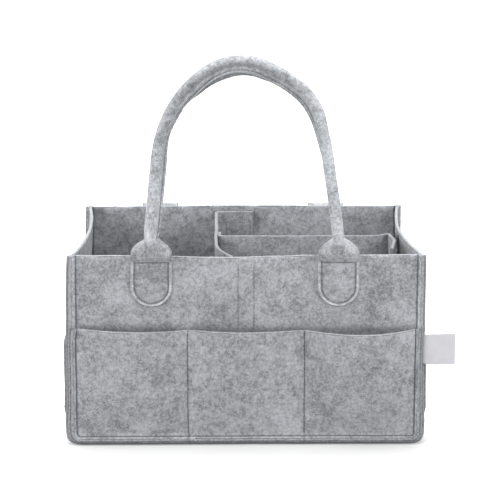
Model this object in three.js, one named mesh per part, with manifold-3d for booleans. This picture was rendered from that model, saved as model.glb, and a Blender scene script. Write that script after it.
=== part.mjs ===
// A felt nursery caddy: an open tote of thick felt with pinched seams, eight outside pockets,
// two rolled grips that fold at their sewn paddles, and a lift-out divider held by hook tape.
// Millimetres, +Z up, the front faces -Y, the origin is under the middle of the base.
import * as THREE from 'three';
import { mergeVertices } from 'three/addons/utils/BufferGeometryUtils.js';
import Module from 'manifold-3d';

const wasm = await Module();
wasm.setup();

// Body, measured over the pinched seams
const CADDY_WIDTH = 330;
const CADDY_DEPTH = 229;
const RIM_HEIGHT = 182;

// Felt and the way its edges meet
const FELT = 3;
const CLEARANCE = 0.3;
const SEAM_FLANGE = 6.5;
const SEAM_CORNER_RADIUS = 6;
const SIDE_SEAM_LEAN = THREE.MathUtils.degToRad(45);
const BASE_SEAM_LEAN = THREE.MathUtils.degToRad(55);

// How the soft walls stand
const LEFT_SIDE_BOW = 7;
const RIGHT_SIDE_BOW = 8;
const BASE_SAG_RAMP = 42;

// Pockets
const POCKET_TOP = 110;
const POCKET_SEAM_X = 54;
const FLAT_POCKET_GAPE = 8;
const OPEN_POCKET_GAPE = 19;
const SIDE_POCKET_TOP = 113;
const SIDE_POCKET_BOTTOM = 24;
const SIDE_POCKET_GAPE = 9;

// Grips: a flat strip folded lengthwise round a soft front, its long edges sewn into a fin
const STRIP_WIDTH = 37.5;
const GRIP_FIN = 5.2;
const GRIP_FRONT_RADIUS = 3.9;
const GRIP_NECK_RADIUS = 6;
const GRIP_CREST = 4.85;
const GRIP_SPREAD = 172.6;
const GRIP_RISE = 175;
const GRIP_OFF_CENTRE = -1.4;
const PADDLE_DROP = 47.7;
const SHOULDER_LENGTH = 16;
const SHOULDER_START = 1;
const FOOT_LENGTH = 21;
const GRIP_SET_BACK = 1;
const HINGE_ABOVE_RIM = 0.8;
const BACK_GRIP_LOWERED = THREE.MathUtils.degToRad(163);

// Hook and loop tape
const TAPE_WIDTH = 20;
const TAPE_THICKNESS = 1.5;
const TAPE_TOP_DROP = 4;
const TAPE_LENGTH = 112;
const HOOK_LENGTH = 96;
const HOOK_WIDTH = 30;

// Divider
const DIVIDER_DROP = 5;
const DIVIDER_X = -29;
const DIVIDER_FRONT_X = -10;
const DIVIDER_JUNCTION_Y = -6;
const DIVIDER_SWAY_X = -28;
const DIVIDER_SWAY_Y = -58;
const DIVIDER_TAB = 38;
const DIVIDER_BEND = 5;
const CROSS_FLANGE = 16;
const CROSS_SETBACK = 16;
const CROSS_CURL_Y = 3;
const CROSS_TAB_SETBACK = 13;
const CROSS_TAB_Y = -26;
const CROSS_END_SETBACK = 20;
const CROSS_END_Y = -64;

// Tag
const TAG_HEIGHT = 29;
const TAG_FACE = 28;
const TAG_THICKNESS = 0.8;
const TAG_ROOT = 4;
const TAG_LEAD = 2;
const TAG_TOP = 106.5;
const TAG_BEND = 3;

// One cut runs this far past the piece that it cuts
const OVERRUN = 2;

// Facets
const CORNER_STEPS = 5;
const POCKET_STEPS = 8;
const BEND_STEPS = 4;
const ROLL_STEPS = 4;
const ARCH_STEPS = 30;
const PADDLE_STEPS = 12;

// Middle surface of the first and the second ply, counted from the plane where the inside faces meet
const FIRST_PLY = (FELT + CLEARANCE) / 2;
const SECOND_PLY = FIRST_PLY + FELT + CLEARANCE;
const STACK = FIRST_PLY + FELT / 2;

// Inside size, so that the seams' tips reach the width and the depth and stand on the floor
const INSIDE_X = CADDY_WIDTH / 2 - SEAM_FLANGE * Math.cos(SIDE_SEAM_LEAN)
  - STACK * Math.sin(SIDE_SEAM_LEAN);
const INSIDE_Y = CADDY_DEPTH / 2 - SEAM_FLANGE * Math.sin(SIDE_SEAM_LEAN)
  - STACK * Math.cos(SIDE_SEAM_LEAN);
const SEAM_Z = SEAM_FLANGE * Math.cos(BASE_SEAM_LEAN) + STACK * Math.sin(BASE_SEAM_LEAN);
const CORNER_Z = SEAM_Z + SEAM_CORNER_RADIUS;

// The base hangs this much between the seams, which puts its middle on the floor
const BASE_SAG = SEAM_Z - STACK;

const smooth = (t) => THREE.MathUtils.smoothstep(t, 0, 1);

// An open net of triangles: the middle surface of a piece of felt.
class Sheet {
  constructor() {
    this.points = [];
    this.faces = [];
  }

  point(x, y, z) {
    this.points.push(new THREE.Vector3(x, y, z));
    return this.points.length - 1;
  }

  quad(a, b, c, d) {
    this.faces.push([a, b, c], [a, c, d]);
  }

  // Rows of point numbers, side by side, become a net.
  net(rows) {
    for (let r = 1; r < rows.length; r++) {
      for (let c = 1; c < rows[r].length; c++) {
        this.quad(rows[r - 1][c - 1], rows[r - 1][c], rows[r][c], rows[r][c - 1]);
      }
    }
    return this;
  }
}

// Gives a sheet its thickness, half on each side, with mitred creases, and closes its edges.
function thicken(sheet, thickness) {
  const { points, faces } = sheet;
  const around = points.map(() => []);
  for (const face of faces) {
    const [a, b, c] = face.map((i) => points[i]);
    const normal = b.clone().sub(a).cross(c.clone().sub(a)).normalize();
    for (const i of face) {
      if (!around[i].some((n) => n.dot(normal) > 0.9999)) around[i].push(normal);
    }
  }
  const half = points.map((p, i) => {
    const mean = around[i].reduce((sum, n) => sum.add(n), new THREE.Vector3()).normalize();
    const share = around[i].reduce((sum, n) => sum + n.dot(mean), 0) / around[i].length;
    return mean.multiplyScalar(thickness / 2 / share);
  });
  const position = [];
  for (const side of [1, -1]) {
    points.forEach((p, i) => position.push(...p.clone().addScaledVector(half[i], side).toArray()));
  }
  const count = points.length;
  const index = [];
  const edges = new Set(faces.flatMap(([a, b, c]) => [`${a} ${b}`, `${b} ${c}`, `${c} ${a}`]));
  for (const [a, b, c] of faces) {
    index.push(a, b, c, count + a, count + c, count + b);
    for (const [from, to] of [[a, b], [b, c], [c, a]]) {
      if (edges.has(`${to} ${from}`)) continue;
      index.push(to, from, count + from, to, count + from, count + to);
    }
  }
  const geometry = new THREE.BufferGeometry();
  geometry.setAttribute('position', new THREE.Float32BufferAttribute(position, 3));
  geometry.setIndex(index);
  return geometry;
}

// A closed mesh's geometry as a manifold-3d solid, and back.
function toSolid(geometry) {
  const bare = geometry.clone();
  bare.deleteAttribute('normal');
  bare.deleteAttribute('uv');
  const merged = mergeVertices(bare);
  return new wasm.Manifold(new wasm.Mesh({
    numProp: 3,
    vertProperties: new Float32Array(merged.attributes.position.array),
    triVerts: new Uint32Array(merged.index.array),
  }));
}

function toGeometry(solid) {
  const mesh = solid.getMesh();
  const geometry = new THREE.BufferGeometry();
  geometry.setAttribute('position', new THREE.BufferAttribute(mesh.vertProperties, 3));
  geometry.setIndex(new THREE.BufferAttribute(mesh.triVerts, 1));
  return geometry;
}

// The seam between an end panel and the wrap runs down one side, round a lower corner, along the
// base and up again. Each stop holds its place, the way out of the panel's outline, and the lean
// of the raw edges from the panel's plane. heights run from the top down to the corner.
function seamStops(heights, baseXs = []) {
  const stops = [];
  for (const z of heights) stops.push({ x: -INSIDE_X, z, outX: -1, outZ: 0, lean: SIDE_SEAM_LEAN });
  const cornerStop = (side, turn) => {
    const share = turn / (Math.PI / 2);
    stops.push({
      x: side * (INSIDE_X - SEAM_CORNER_RADIUS + SEAM_CORNER_RADIUS * Math.cos(turn)),
      z: CORNER_Z - SEAM_CORNER_RADIUS * Math.sin(turn),
      outX: side * Math.cos(turn),
      outZ: -Math.sin(turn),
      lean: THREE.MathUtils.lerp(SIDE_SEAM_LEAN, BASE_SEAM_LEAN, share),
    });
  };
  for (let i = 1; i <= CORNER_STEPS; i++) cornerStop(-1, (i / CORNER_STEPS) * (Math.PI / 2));
  for (const x of baseXs) stops.push({ x, z: SEAM_Z, outX: 0, outZ: -1, lean: BASE_SEAM_LEAN });
  for (let i = CORNER_STEPS; i >= 1; i--) cornerStop(1, (i / CORNER_STEPS) * (Math.PI / 2));
  for (const z of [...heights].reverse()) {
    stops.push({ x: INSIDE_X, z, outX: 1, outZ: 0, lean: SIDE_SEAM_LEAN });
  }
  return stops;
}

// Where a ply folds and where it ends, as steps out of the outline and away from the caddy's middle.
// An end panel's ply lies at +ply from the seam's plane, the wrap's ply at -ply.
const panelFold = (stop, ply) => ({ out: -ply * Math.tan(stop.lean / 2), away: ply });
const panelTip = (stop, ply) => ({
  out: SEAM_FLANGE * Math.cos(stop.lean) - ply * Math.sin(stop.lean),
  away: SEAM_FLANGE * Math.sin(stop.lean) + ply * Math.cos(stop.lean),
});
const wrapFold = (stop, ply) => ({ out: ply, away: -ply * Math.tan((Math.PI / 2 - stop.lean) / 2) });
const wrapTip = (stop, ply) => ({
  out: SEAM_FLANGE * Math.cos(stop.lean) + ply * Math.sin(stop.lean),
  away: SEAM_FLANGE * Math.sin(stop.lean) - ply * Math.cos(stop.lean),
});

// An end panel or the pocket panel on it: a flat sheet that bulges where bulge(x, z) says, with a
// leaning flange round its sides and bottom. end is -1 at the front and 1 at the back.
function endPanelSheet(end, ply, heights, columns, bulge) {
  const sheet = new Sheet();
  const stops = seamStops(heights);
  const place = (stop, { out, away }) => sheet.point(
    stop.x + stop.outX * out, end * (INSIDE_Y + away), stop.z + stop.outZ * out,
  );
  const folds = stops.map((stop) => place(stop, panelFold(stop, ply)));
  const tips = stops.map((stop) => place(stop, panelTip(stop, ply)));
  for (let i = 1; i < stops.length; i++) sheet.quad(tips[i - 1], folds[i - 1], folds[i], tips[i]);
  const rows = heights.map((z, r) => [
    folds[r],
    ...columns.map((x) => sheet.point(x, end * (INSIDE_Y + ply + bulge(x, z)), z)),
    folds[folds.length - 1 - r],
  ]);
  sheet.net(rows);
  const last = rows.length - 1;
  const outline = [...rows[last], ...folds.slice(last + 1, folds.length - 1 - last).reverse()];
  const flat = outline.map((i) => new THREE.Vector2(sheet.points[i].x, sheet.points[i].z));
  for (const [a, b, c] of THREE.ShapeUtils.triangulateShape(flat, [])) {
    const clockwise = THREE.ShapeUtils.area([flat[a], flat[b], flat[c]]) < 0;
    sheet.faces.push(clockwise
      ? [outline[a], outline[b], outline[c]]
      : [outline[a], outline[c], outline[b]]);
  }
  return sheet;
}

// How far the wrap leaves its flat plane at a stop: the sides bow in towards the rim and the base
// sags onto the floor.
function wrapPush(stop, y) {
  const bow = stop.outX < 0 ? LEFT_SIDE_BOW : RIGHT_SIDE_BOW;
  const rise = Math.max(0, stop.z - CORNER_Z) / (RIM_HEIGHT - CORNER_Z);
  const inward = bow * Math.abs(stop.outX) * rise ** 1.6 * (1 - (y / INSIDE_Y) ** 2);
  const down = BASE_SAG * -stop.outZ * smooth((INSIDE_Y - Math.abs(y)) / BASE_SAG_RAMP);
  return down - inward;
}

// The wrap, or a side pocket on it: rows along the seam, columns from the front tip to the back tip.
function wrapSheet(stops, ply, columns, extra = () => 0) {
  const sheet = new Sheet();
  const rows = stops.map((stop) => {
    const at = (out, y) => sheet.point(stop.x + stop.outX * out, y, stop.z + stop.outZ * out);
    const fold = wrapFold(stop, ply);
    const tip = wrapTip(stop, ply);
    return [
      at(tip.out, -(INSIDE_Y + tip.away)),
      at(fold.out, -(INSIDE_Y + fold.away)),
      ...columns.map((y) => at(ply + wrapPush(stop, y) + extra(stop, y), y)),
      at(fold.out, INSIDE_Y + fold.away),
      at(tip.out, INSIDE_Y + tip.away),
    ];
  });
  return sheet.net(rows);
}

// A standing strip: a path in plan with rounded bends, given a thickness and a height.
function standingStrip(corners, bend, thickness, height) {
  const path = new THREE.Path();
  path.moveTo(corners[0].x, corners[0].y);
  for (let i = 1; i < corners.length - 1; i++) {
    const toward = (other) => {
      const leg = other.clone().sub(corners[i]);
      return corners[i].clone().addScaledVector(leg.clone().normalize(), Math.min(bend, leg.length() / 2));
    };
    const from = toward(corners[i - 1]);
    const to = toward(corners[i + 1]);
    path.lineTo(from.x, from.y);
    path.quadraticCurveTo(corners[i].x, corners[i].y, to.x, to.y);
  }
  path.lineTo(corners[corners.length - 1].x, corners[corners.length - 1].y);
  const line = path.getPoints(BEND_STEPS)
    .filter((p, i, all) => i === 0 || p.distanceTo(all[i - 1]) > thickness / 1000);
  const sideNormals = line.slice(1).map((p, i) => {
    const along = p.clone().sub(line[i]).normalize();
    return new THREE.Vector2(-along.y, along.x);
  });
  const offset = line.map((p, i) => {
    const before = sideNormals[Math.max(0, i - 1)];
    const after = sideNormals[Math.min(sideNormals.length - 1, i)];
    const mean = before.clone().add(after).normalize();
    return mean.multiplyScalar(thickness / 2 / mean.dot(after));
  });
  const outline = [
    ...line.map((p, i) => p.clone().sub(offset[i])),
    ...line.map((p, i) => p.clone().add(offset[i])).reverse(),
  ];
  return new THREE.ExtrudeGeometry(new THREE.Shape(outline), { depth: height, bevelEnabled: false });
}

// Materials
const felt = new THREE.MeshStandardMaterial({ color: 0xa5a6aa, roughness: 0.96, metalness: 0 });
const gripFelt = new THREE.MeshStandardMaterial({ color: 0xb4b4b8, roughness: 0.95, metalness: 0 });
const loopTape = new THREE.MeshStandardMaterial({ color: 0x9a9a9d, roughness: 0.9, metalness: 0 });
const hookTape = new THREE.MeshStandardMaterial({ color: 0x8e8e92, roughness: 0.7, metalness: 0 });
const tagWeave = new THREE.MeshStandardMaterial({ color: 0xd4d4da, roughness: 0.85, metalness: 0 });

const caddy = new THREE.Group();

function addMesh(parent, name, geometry, material) {
  const mesh = new THREE.Mesh(geometry, material);
  mesh.name = name;
  parent.add(mesh);
  return mesh;
}

// End panels
const plain = () => 0;
for (const [end, name] of [[-1, 'front_panel'], [1, 'back_panel']]) {
  const sheet = endPanelSheet(end, FIRST_PLY, [RIM_HEIGHT, CORNER_Z], [], plain);
  addMesh(caddy, name, thicken(sheet, FELT), felt);
}

// Pocket panels: sewn down at two upright seams, and standing open between them
const POCKET_EDGE_X = INSIDE_X - SECOND_PLY * Math.tan(SIDE_SEAM_LEAN / 2);
const pocketBounds = [-POCKET_EDGE_X, -POCKET_SEAM_X, POCKET_SEAM_X, POCKET_EDGE_X];
const pocketHeightShares = [1, 0.86, 0.68, 0.46, 0.22, 0];
const pocketHeights = pocketHeightShares
  .map((share) => THREE.MathUtils.lerp(CORNER_Z, POCKET_TOP, share));
const pocketColumns = pocketBounds.slice(1).flatMap((to, i) => {
  const from = pocketBounds[i];
  return Array.from({ length: POCKET_STEPS }, (_, k) => from + ((k + 1) / POCKET_STEPS) * (to - from));
}).slice(0, -1);

function pocketBulge(gapes) {
  return (x, z) => {
    const which = pocketBounds.slice(1).findIndex((bound) => x <= bound + CLEARANCE / 2);
    const [from, to] = [pocketBounds[which], pocketBounds[which + 1]];
    const across = Math.sin(Math.PI * THREE.MathUtils.clamp((x - from) / (to - from), 0, 1));
    const up = (z - CORNER_Z) / (POCKET_TOP - CORNER_Z);
    return gapes[which] * across * Math.sin((Math.PI / 2) * up ** 0.9);
  };
}

const frontBulge = pocketBulge([FLAT_POCKET_GAPE, FLAT_POCKET_GAPE, OPEN_POCKET_GAPE]);
const backBulge = pocketBulge([FLAT_POCKET_GAPE, FLAT_POCKET_GAPE, FLAT_POCKET_GAPE]);
const frontPocketSheet = endPanelSheet(-1, SECOND_PLY, pocketHeights, pocketColumns, frontBulge);
const backPocketSheet = endPanelSheet(1, SECOND_PLY, pocketHeights, pocketColumns, backBulge);
addMesh(caddy, 'front_pocket_panel', thicken(frontPocketSheet, FELT), felt);
addMesh(caddy, 'back_pocket_panel', thicken(backPocketSheet, FELT), felt);

// The wrap makes both sides and the base in one strip. The side pockets share its rows and columns.
const wrapColumnShares = [-0.8, -0.6, -0.4, -0.2, 0, 0.2, 0.4, 0.6, 0.8];
const wrapColumns = wrapColumnShares.map((share) => share * INSIDE_Y);
const sidePocketShares = [1, 0.82, 0.6, 0.36, 0.14, 0];
const sidePocketHeights = sidePocketShares
  .map((share) => THREE.MathUtils.lerp(SIDE_POCKET_BOTTOM, SIDE_POCKET_TOP, share));
const upperShares = [1, 0.66, 0.33];
const wrapHeights = [
  ...upperShares.map((share) => THREE.MathUtils.lerp(SIDE_POCKET_TOP, RIM_HEIGHT, share)),
  ...sidePocketHeights,
  CORNER_Z,
];

// The tag's root lies between the plies of the right front seam, in a shallow bed in the wrap's ply
const leanWay = new THREE.Vector2(Math.cos(SIDE_SEAM_LEAN), -Math.sin(SIDE_SEAM_LEAN));
const frontWay = new THREE.Vector2(-Math.sin(SIDE_SEAM_LEAN), -Math.cos(SIDE_SEAM_LEAN));
const seamCorner = new THREE.Vector2(INSIDE_X, -INSIDE_Y);
const tagMiddle = -(CLEARANCE / 2 + TAG_THICKNESS / 2);
const onSeam = (along, toFront) => seamCorner.clone()
  .addScaledVector(leanWay, along).addScaledVector(frontWay, toFront);

function tagBed() {
  const bedLength = TAG_ROOT + CLEARANCE + OVERRUN;
  const bedDepth = TAG_THICKNESS + CLEARANCE + OVERRUN;
  const bed = new THREE.BoxGeometry(bedLength, bedDepth, TAG_HEIGHT + 2 * CLEARANCE);
  const along = SEAM_FLANGE - TAG_ROOT - CLEARANCE + bedLength / 2;
  const floor = tagMiddle - TAG_THICKNESS / 2 - CLEARANCE;
  const middle = onSeam(along, floor + bedDepth / 2);
  bed.rotateZ(-SIDE_SEAM_LEAN);
  bed.translate(middle.x, middle.y, TAG_TOP - TAG_HEIGHT / 2);
  return bed;
}

const wrapStops = seamStops(wrapHeights, [0]);
const wrapSolid = toSolid(thicken(wrapSheet(wrapStops, FIRST_PLY, wrapColumns), FELT))
  .subtract(toSolid(tagBed()));
addMesh(caddy, 'wrap_panel', toGeometry(wrapSolid), felt);

const tagLine = [
  onSeam(SEAM_FLANGE - TAG_ROOT, tagMiddle),
  onSeam(SEAM_FLANGE + TAG_LEAD, tagMiddle),
];
tagLine.push(new THREE.Vector2(tagLine[1].x + TAG_FACE, tagLine[1].y));
const tag = addMesh(caddy, 'side_tag', standingStrip(tagLine, TAG_BEND, TAG_THICKNESS, TAG_HEIGHT), tagWeave);
tag.position.z = TAG_TOP - TAG_HEIGHT;

// Side pockets
const sidePocketBulge = (stop, y) => {
  const up = (stop.z - SIDE_POCKET_BOTTOM) / (SIDE_POCKET_TOP - SIDE_POCKET_BOTTOM);
  return SIDE_POCKET_GAPE * (1 - (y / INSIDE_Y) ** 2) * Math.sin((Math.PI / 2) * up);
};
for (const [side, name] of [[-1, 'left_side_pocket'], [1, 'right_side_pocket']]) {
  const stops = seamStops(sidePocketHeights).filter((stop) => stop.outX === side && stop.z !== CORNER_Z);
  const sheet = wrapSheet(stops, SECOND_PLY, wrapColumns, sidePocketBulge);
  addMesh(caddy, name, thicken(sheet, FELT), felt);
}

// Loop tapes, sewn inside the end panels and the right side
const panelInnerY = INSIDE_Y + FIRST_PLY - FELT / 2;
const tapeTop = RIM_HEIGHT - TAPE_TOP_DROP;
for (const [end, name] of [[-1, 'front_loop_strip'], [1, 'back_loop_strip']]) {
  const tape = new THREE.BoxGeometry(TAPE_WIDTH, TAPE_THICKNESS, TAPE_LENGTH);
  const strip = addMesh(caddy, name, tape, loopTape);
  strip.position.set(0, end * (panelInnerY - CLEARANCE - TAPE_THICKNESS / 2), tapeTop - TAPE_LENGTH / 2);
}
const sideTapeHeightShares = [1, 0.75, 0.5, 0.25, 0];
const sideTapeStops = sideTapeHeightShares.map((share) => ({
  x: INSIDE_X, z: tapeTop - TAPE_LENGTH * (1 - share), outX: 1, outZ: 0, lean: SIDE_SEAM_LEAN,
}));
const sideTape = new Sheet();
const sideTapePly = FIRST_PLY - FELT / 2 - CLEARANCE - TAPE_THICKNESS / 2;
sideTape.net(sideTapeStops.map((stop) => [-1, 0, 1].map((step) => {
  const y = (step * TAPE_WIDTH) / 2;
  return sideTape.point(stop.x + sideTapePly + wrapPush(stop, y), y, stop.z);
})));
addMesh(caddy, 'right_loop_strip', thicken(sideTape, TAPE_THICKNESS), loopTape);

// Grips. Half of the strip's closed cross-section is a round front, a straight flank, a neck that
// bends back, and the fin, whose two halves lie the clearance apart. flankSlope is the angle at
// which the flank runs in towards the fin.
const rollArc = STRIP_WIDTH / 2 - GRIP_FIN;
const bothRadii = GRIP_FRONT_RADIUS + GRIP_NECK_RADIUS;
const flankAndNeck = rollArc - (GRIP_FRONT_RADIUS * Math.PI) / 2;
let flankSlope = 0;
let slopeStep = Math.PI / 8;
for (let i = 0; i < 24; i++) {
  const slope = flankSlope + slopeStep;
  const narrowing = bothRadii * (1 - Math.cos(slope))
    + (flankAndNeck - bothRadii * slope) * Math.sin(slope);
  if (narrowing < GRIP_FRONT_RADIUS - FIRST_PLY) flankSlope = slope;
  slopeStep /= 2;
}
const frontArc = GRIP_FRONT_RADIUS * (Math.PI / 2 + flankSlope);
const neckArc = GRIP_NECK_RADIUS * flankSlope;

// The closed section's heading at s along the strip's width, from 0 on its front
function rollHeading(s) {
  if (s < frontArc) return s / GRIP_FRONT_RADIUS;
  const backAlong = THREE.MathUtils.clamp((s - (rollArc - neckArc)) / neckArc, 0, 1);
  return Math.PI / 2 + flankSlope * (1 - backAlong);
}

// A point of the strip's cross-section, s along the strip's width, for a roll from 0 flat to 1 closed.
// a runs along the strip's face at its middle, b along its outer face's normal.
const ROLL_SLICES = 40;
function rollPoint(s, roll) {
  const slice = Math.abs(s) / ROLL_SLICES;
  const point = { a: 0, b: GRIP_CREST * roll };
  for (let i = 0; i < ROLL_SLICES; i++) {
    const heading = roll * rollHeading((i + 1 / 2) * slice);
    point.a += slice * Math.cos(heading);
    point.b -= slice * Math.sin(heading);
  }
  return { a: Math.sign(s) * point.a, b: point.b };
}

// The free part of a grip, in the frame of its fold line: x across, z up, the outside towards -y.
const archShares = [
  [-1, 0], [-0.996, 0.09], [-0.973, 0.2], [-0.925, 0.44], [-0.862, 0.63], [-0.73, 0.78],
  [-0.528, 0.9], [-0.32, 0.971], [-0.1, 1.003],
  [0.12, 0.993], [0.309, 0.954], [0.542, 0.885], [0.667, 0.827], [0.765, 0.75], [0.815, 0.65],
  [0.855, 0.56], [0.918, 0.35], [0.978, 0.13], [1, 0],
];
const archCurve = new THREE.CatmullRomCurve3(
  archShares.map(([x, z]) => new THREE.Vector3((x * GRIP_SPREAD) / 2, 0, z * GRIP_RISE)),
);
archCurve.arcLengthDivisions = 800;

// How far the fin turns from straight back towards the arch's inside, in degrees along the arch
const finTurnShares = [
  [0, 0], [0.012, 0], [0.06, 32], [0.18, 32], [0.26, 15], [0.325, 24], [0.4, 42], [0.5, 58],
  [0.6, 42], [0.675, 36], [0.745, 15], [0.82, 7], [0.94, 5], [0.99, 0], [1, 0],
];
function finTurn(share) {
  const next = Math.max(1, finTurnShares.findIndex(([at]) => at >= share));
  const [from, turnFrom] = finTurnShares[next - 1];
  const [to, turnTo] = finTurnShares[next];
  const turn = THREE.MathUtils.lerp(turnFrom, turnTo, smooth((share - from) / (to - from)));
  return THREE.MathUtils.degToRad(turn);
}

function gripSheet() {
  const length = archCurve.getLength();
  const shoulderShares = [0, 0.14, 0.28, 0.42, 0.56, 0.7, 0.85, 1];
  const nearStops = shoulderShares.map((share) => share * FOOT_LENGTH);
  const farStops = Array.from({ length: ARCH_STEPS - 1 }, (_, i) => (
    FOOT_LENGTH + ((i + 1) / ARCH_STEPS) * (length - 2 * FOOT_LENGTH)
  ));
  const distances = [...nearStops, ...farStops, ...nearStops.map((d) => length - d).reverse()];
  const halfWidths = [STRIP_WIDTH / 2, rollArc, rollArc - neckArc, frontArc];
  for (let i = ROLL_STEPS - 1; i > 0; i--) halfWidths.push((i / ROLL_STEPS) * frontArc);
  const widths = [...halfWidths.map((s) => -s), 0, ...halfWidths.reverse()];
  const sheet = new Sheet();
  const front = new THREE.Vector3(0, -1, 0);
  const rows = distances.map((distance) => {
    const near = Math.min(distance, length - distance);
    const roll = smooth((near - SHOULDER_START) / SHOULDER_LENGTH);
    const twist = finTurn(distance / length);
    const centre = archCurve.getPointAt(distance / length);
    centre.y = GRIP_SET_BACK * smooth(near / FOOT_LENGTH);
    const upright = new THREE.Vector3(0, 0, distance < length / 2 ? 1 : -1);
    const along = upright.lerp(archCurve.getTangentAt(distance / length), smooth(near / FOOT_LENGTH));
    along.normalize();
    const outward = front.clone().cross(along);
    const normal = front.clone().multiplyScalar(Math.cos(twist)).addScaledVector(outward, Math.sin(twist));
    const across = outward.clone().multiplyScalar(-Math.cos(twist)).addScaledVector(front, Math.sin(twist));
    return widths.map((s) => {
      const { a, b } = rollPoint(s, roll);
      const p = centre.clone().addScaledVector(across, a).addScaledVector(normal, b);
      return sheet.point(p.x, p.y, p.z);
    });
  });
  return sheet.net(rows);
}

// The sewn paddle at each end of the strip, from the fold down to its half-round end
function paddleShape() {
  const half = STRIP_WIDTH / 2;
  const shape = new THREE.Shape();
  shape.moveTo(-half, 0);
  shape.lineTo(-half, half - PADDLE_DROP);
  shape.absarc(0, half - PADDLE_DROP, half, Math.PI, 2 * Math.PI, false);
  shape.lineTo(half, 0);
  return shape;
}

const paddleY = INSIDE_Y + FIRST_PLY + FELT / 2 + CLEARANCE;
const hingeY = paddleY + FELT / 2 + FELT + CLEARANCE;
const hingeZ = RIM_HEIGHT + HINGE_ABOVE_RIM;
for (const [end, name, lowered] of [[-1, 'front_handle', 0], [1, 'back_handle', BACK_GRIP_LOWERED]]) {
  const facing = new THREE.Group();
  facing.position.x = GRIP_OFF_CENTRE;
  facing.rotation.z = end < 0 ? 0 : Math.PI;
  caddy.add(facing);
  for (const [side, which] of [[-1, 'left'], [1, 'right']]) {
    const paddle = addMesh(facing, `${name}_${which}_tab`, new THREE.ExtrudeGeometry(paddleShape(), {
      depth: FELT, bevelEnabled: false, curveSegments: PADDLE_STEPS,
    }), gripFelt);
    paddle.rotation.x = Math.PI / 2;
    paddle.position.set((-end * side * GRIP_SPREAD) / 2, -paddleY, RIM_HEIGHT);
  }
  const hinge = new THREE.Group();
  hinge.position.set(0, -hingeY, hingeZ);
  hinge.rotation.x = lowered;
  facing.add(hinge);
  addMesh(hinge, `${name}_arch`, thicken(gripSheet(), FELT), gripFelt);
}

// Divider insert: two felt strips stand between the end panels, held by tape on their turned ends
const tabY = panelInnerY - 2 * (CLEARANCE + TAPE_THICKNESS) - CLEARANCE - FELT / 2;
const dividerTop = RIM_HEIGHT - DIVIDER_DROP;
const dividerBottom = SEAM_Z + CLEARANCE;
const dividerHeight = dividerTop - dividerBottom;
const insert = new THREE.Group();
insert.position.z = dividerBottom;
caddy.add(insert);

const mainLine = [
  new THREE.Vector2(DIVIDER_X + DIVIDER_TAB, tabY),
  new THREE.Vector2(DIVIDER_X, tabY),
  new THREE.Vector2(DIVIDER_X, DIVIDER_JUNCTION_Y),
  new THREE.Vector2(DIVIDER_SWAY_X, DIVIDER_SWAY_Y),
  new THREE.Vector2(DIVIDER_FRONT_X, -tabY),
  new THREE.Vector2(DIVIDER_FRONT_X + DIVIDER_TAB, -tabY),
];
addMesh(insert, 'main_divider', standingStrip(mainLine, DIVIDER_BEND, FELT, dividerHeight), felt);

const flangeX = DIVIDER_X + FELT + CLEARANCE;
const crossReachX = INSIDE_X - CROSS_SETBACK;
const crossTabX = INSIDE_X - CROSS_TAB_SETBACK;
const crossEndX = INSIDE_X - CROSS_END_SETBACK;
const crossLine = [
  new THREE.Vector2(flangeX, DIVIDER_JUNCTION_Y + CROSS_FLANGE),
  new THREE.Vector2(flangeX, DIVIDER_JUNCTION_Y),
  new THREE.Vector2(crossReachX - 2 * DIVIDER_BEND, DIVIDER_JUNCTION_Y),
  new THREE.Vector2(crossReachX, CROSS_CURL_Y),
  new THREE.Vector2(crossTabX, CROSS_TAB_Y),
  new THREE.Vector2(crossEndX, CROSS_END_Y),
];
addMesh(insert, 'cross_divider', standingStrip(crossLine, DIVIDER_BEND, FELT, dividerHeight), felt);

// Hook tapes, each on the outer face of its tab
const hookMiddleZ = tapeTop - TAPE_LENGTH / 2 - dividerBottom;
const hookGeometry = () => new THREE.BoxGeometry(HOOK_WIDTH, TAPE_THICKNESS, HOOK_LENGTH);
const hookY = tabY + FELT / 2 + CLEARANCE + TAPE_THICKNESS / 2;
for (const [end, name, x] of [
  [-1, 'main_divider_front_hook', DIVIDER_FRONT_X],
  [1, 'main_divider_rear_hook', DIVIDER_X],
]) {
  const hook = addMesh(insert, name, hookGeometry(), hookTape);
  hook.position.set(x + DIVIDER_TAB - HOOK_WIDTH / 2, end * hookY, hookMiddleZ);
}
const tabRun = new THREE.Vector2(crossEndX - crossTabX, CROSS_END_Y - CROSS_TAB_Y);
const tabWay = tabRun.clone().normalize();
const tabOut = new THREE.Vector2(-tabWay.y, tabWay.x);
const tabHookAt = new THREE.Vector2(crossEndX, CROSS_END_Y)
  .addScaledVector(tabWay, -HOOK_WIDTH / 2)
  .addScaledVector(tabOut, FELT / 2 + CLEARANCE + TAPE_THICKNESS / 2);
const tabHook = addMesh(insert, 'cross_divider_hook', hookGeometry(), hookTape);
tabHook.position.set(tabHookAt.x, tabHookAt.y, hookMiddleZ);
tabHook.rotation.z = Math.atan2(tabWay.y, tabWay.x);

export default caddy;
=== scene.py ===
"""A felt nursery caddy: thick felt walls with pinched seams, pockets, rolled grips and a divider.

Lengths are millimetres unless a name says otherwise, and meshes are written in metres. The front
faces -Y, +Z is up, and the origin is under the middle of the base.
"""

import logging
import math
from dataclasses import dataclass, field, replace
from enum import Enum
from functools import cache
from typing import Callable, Sequence

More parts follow.
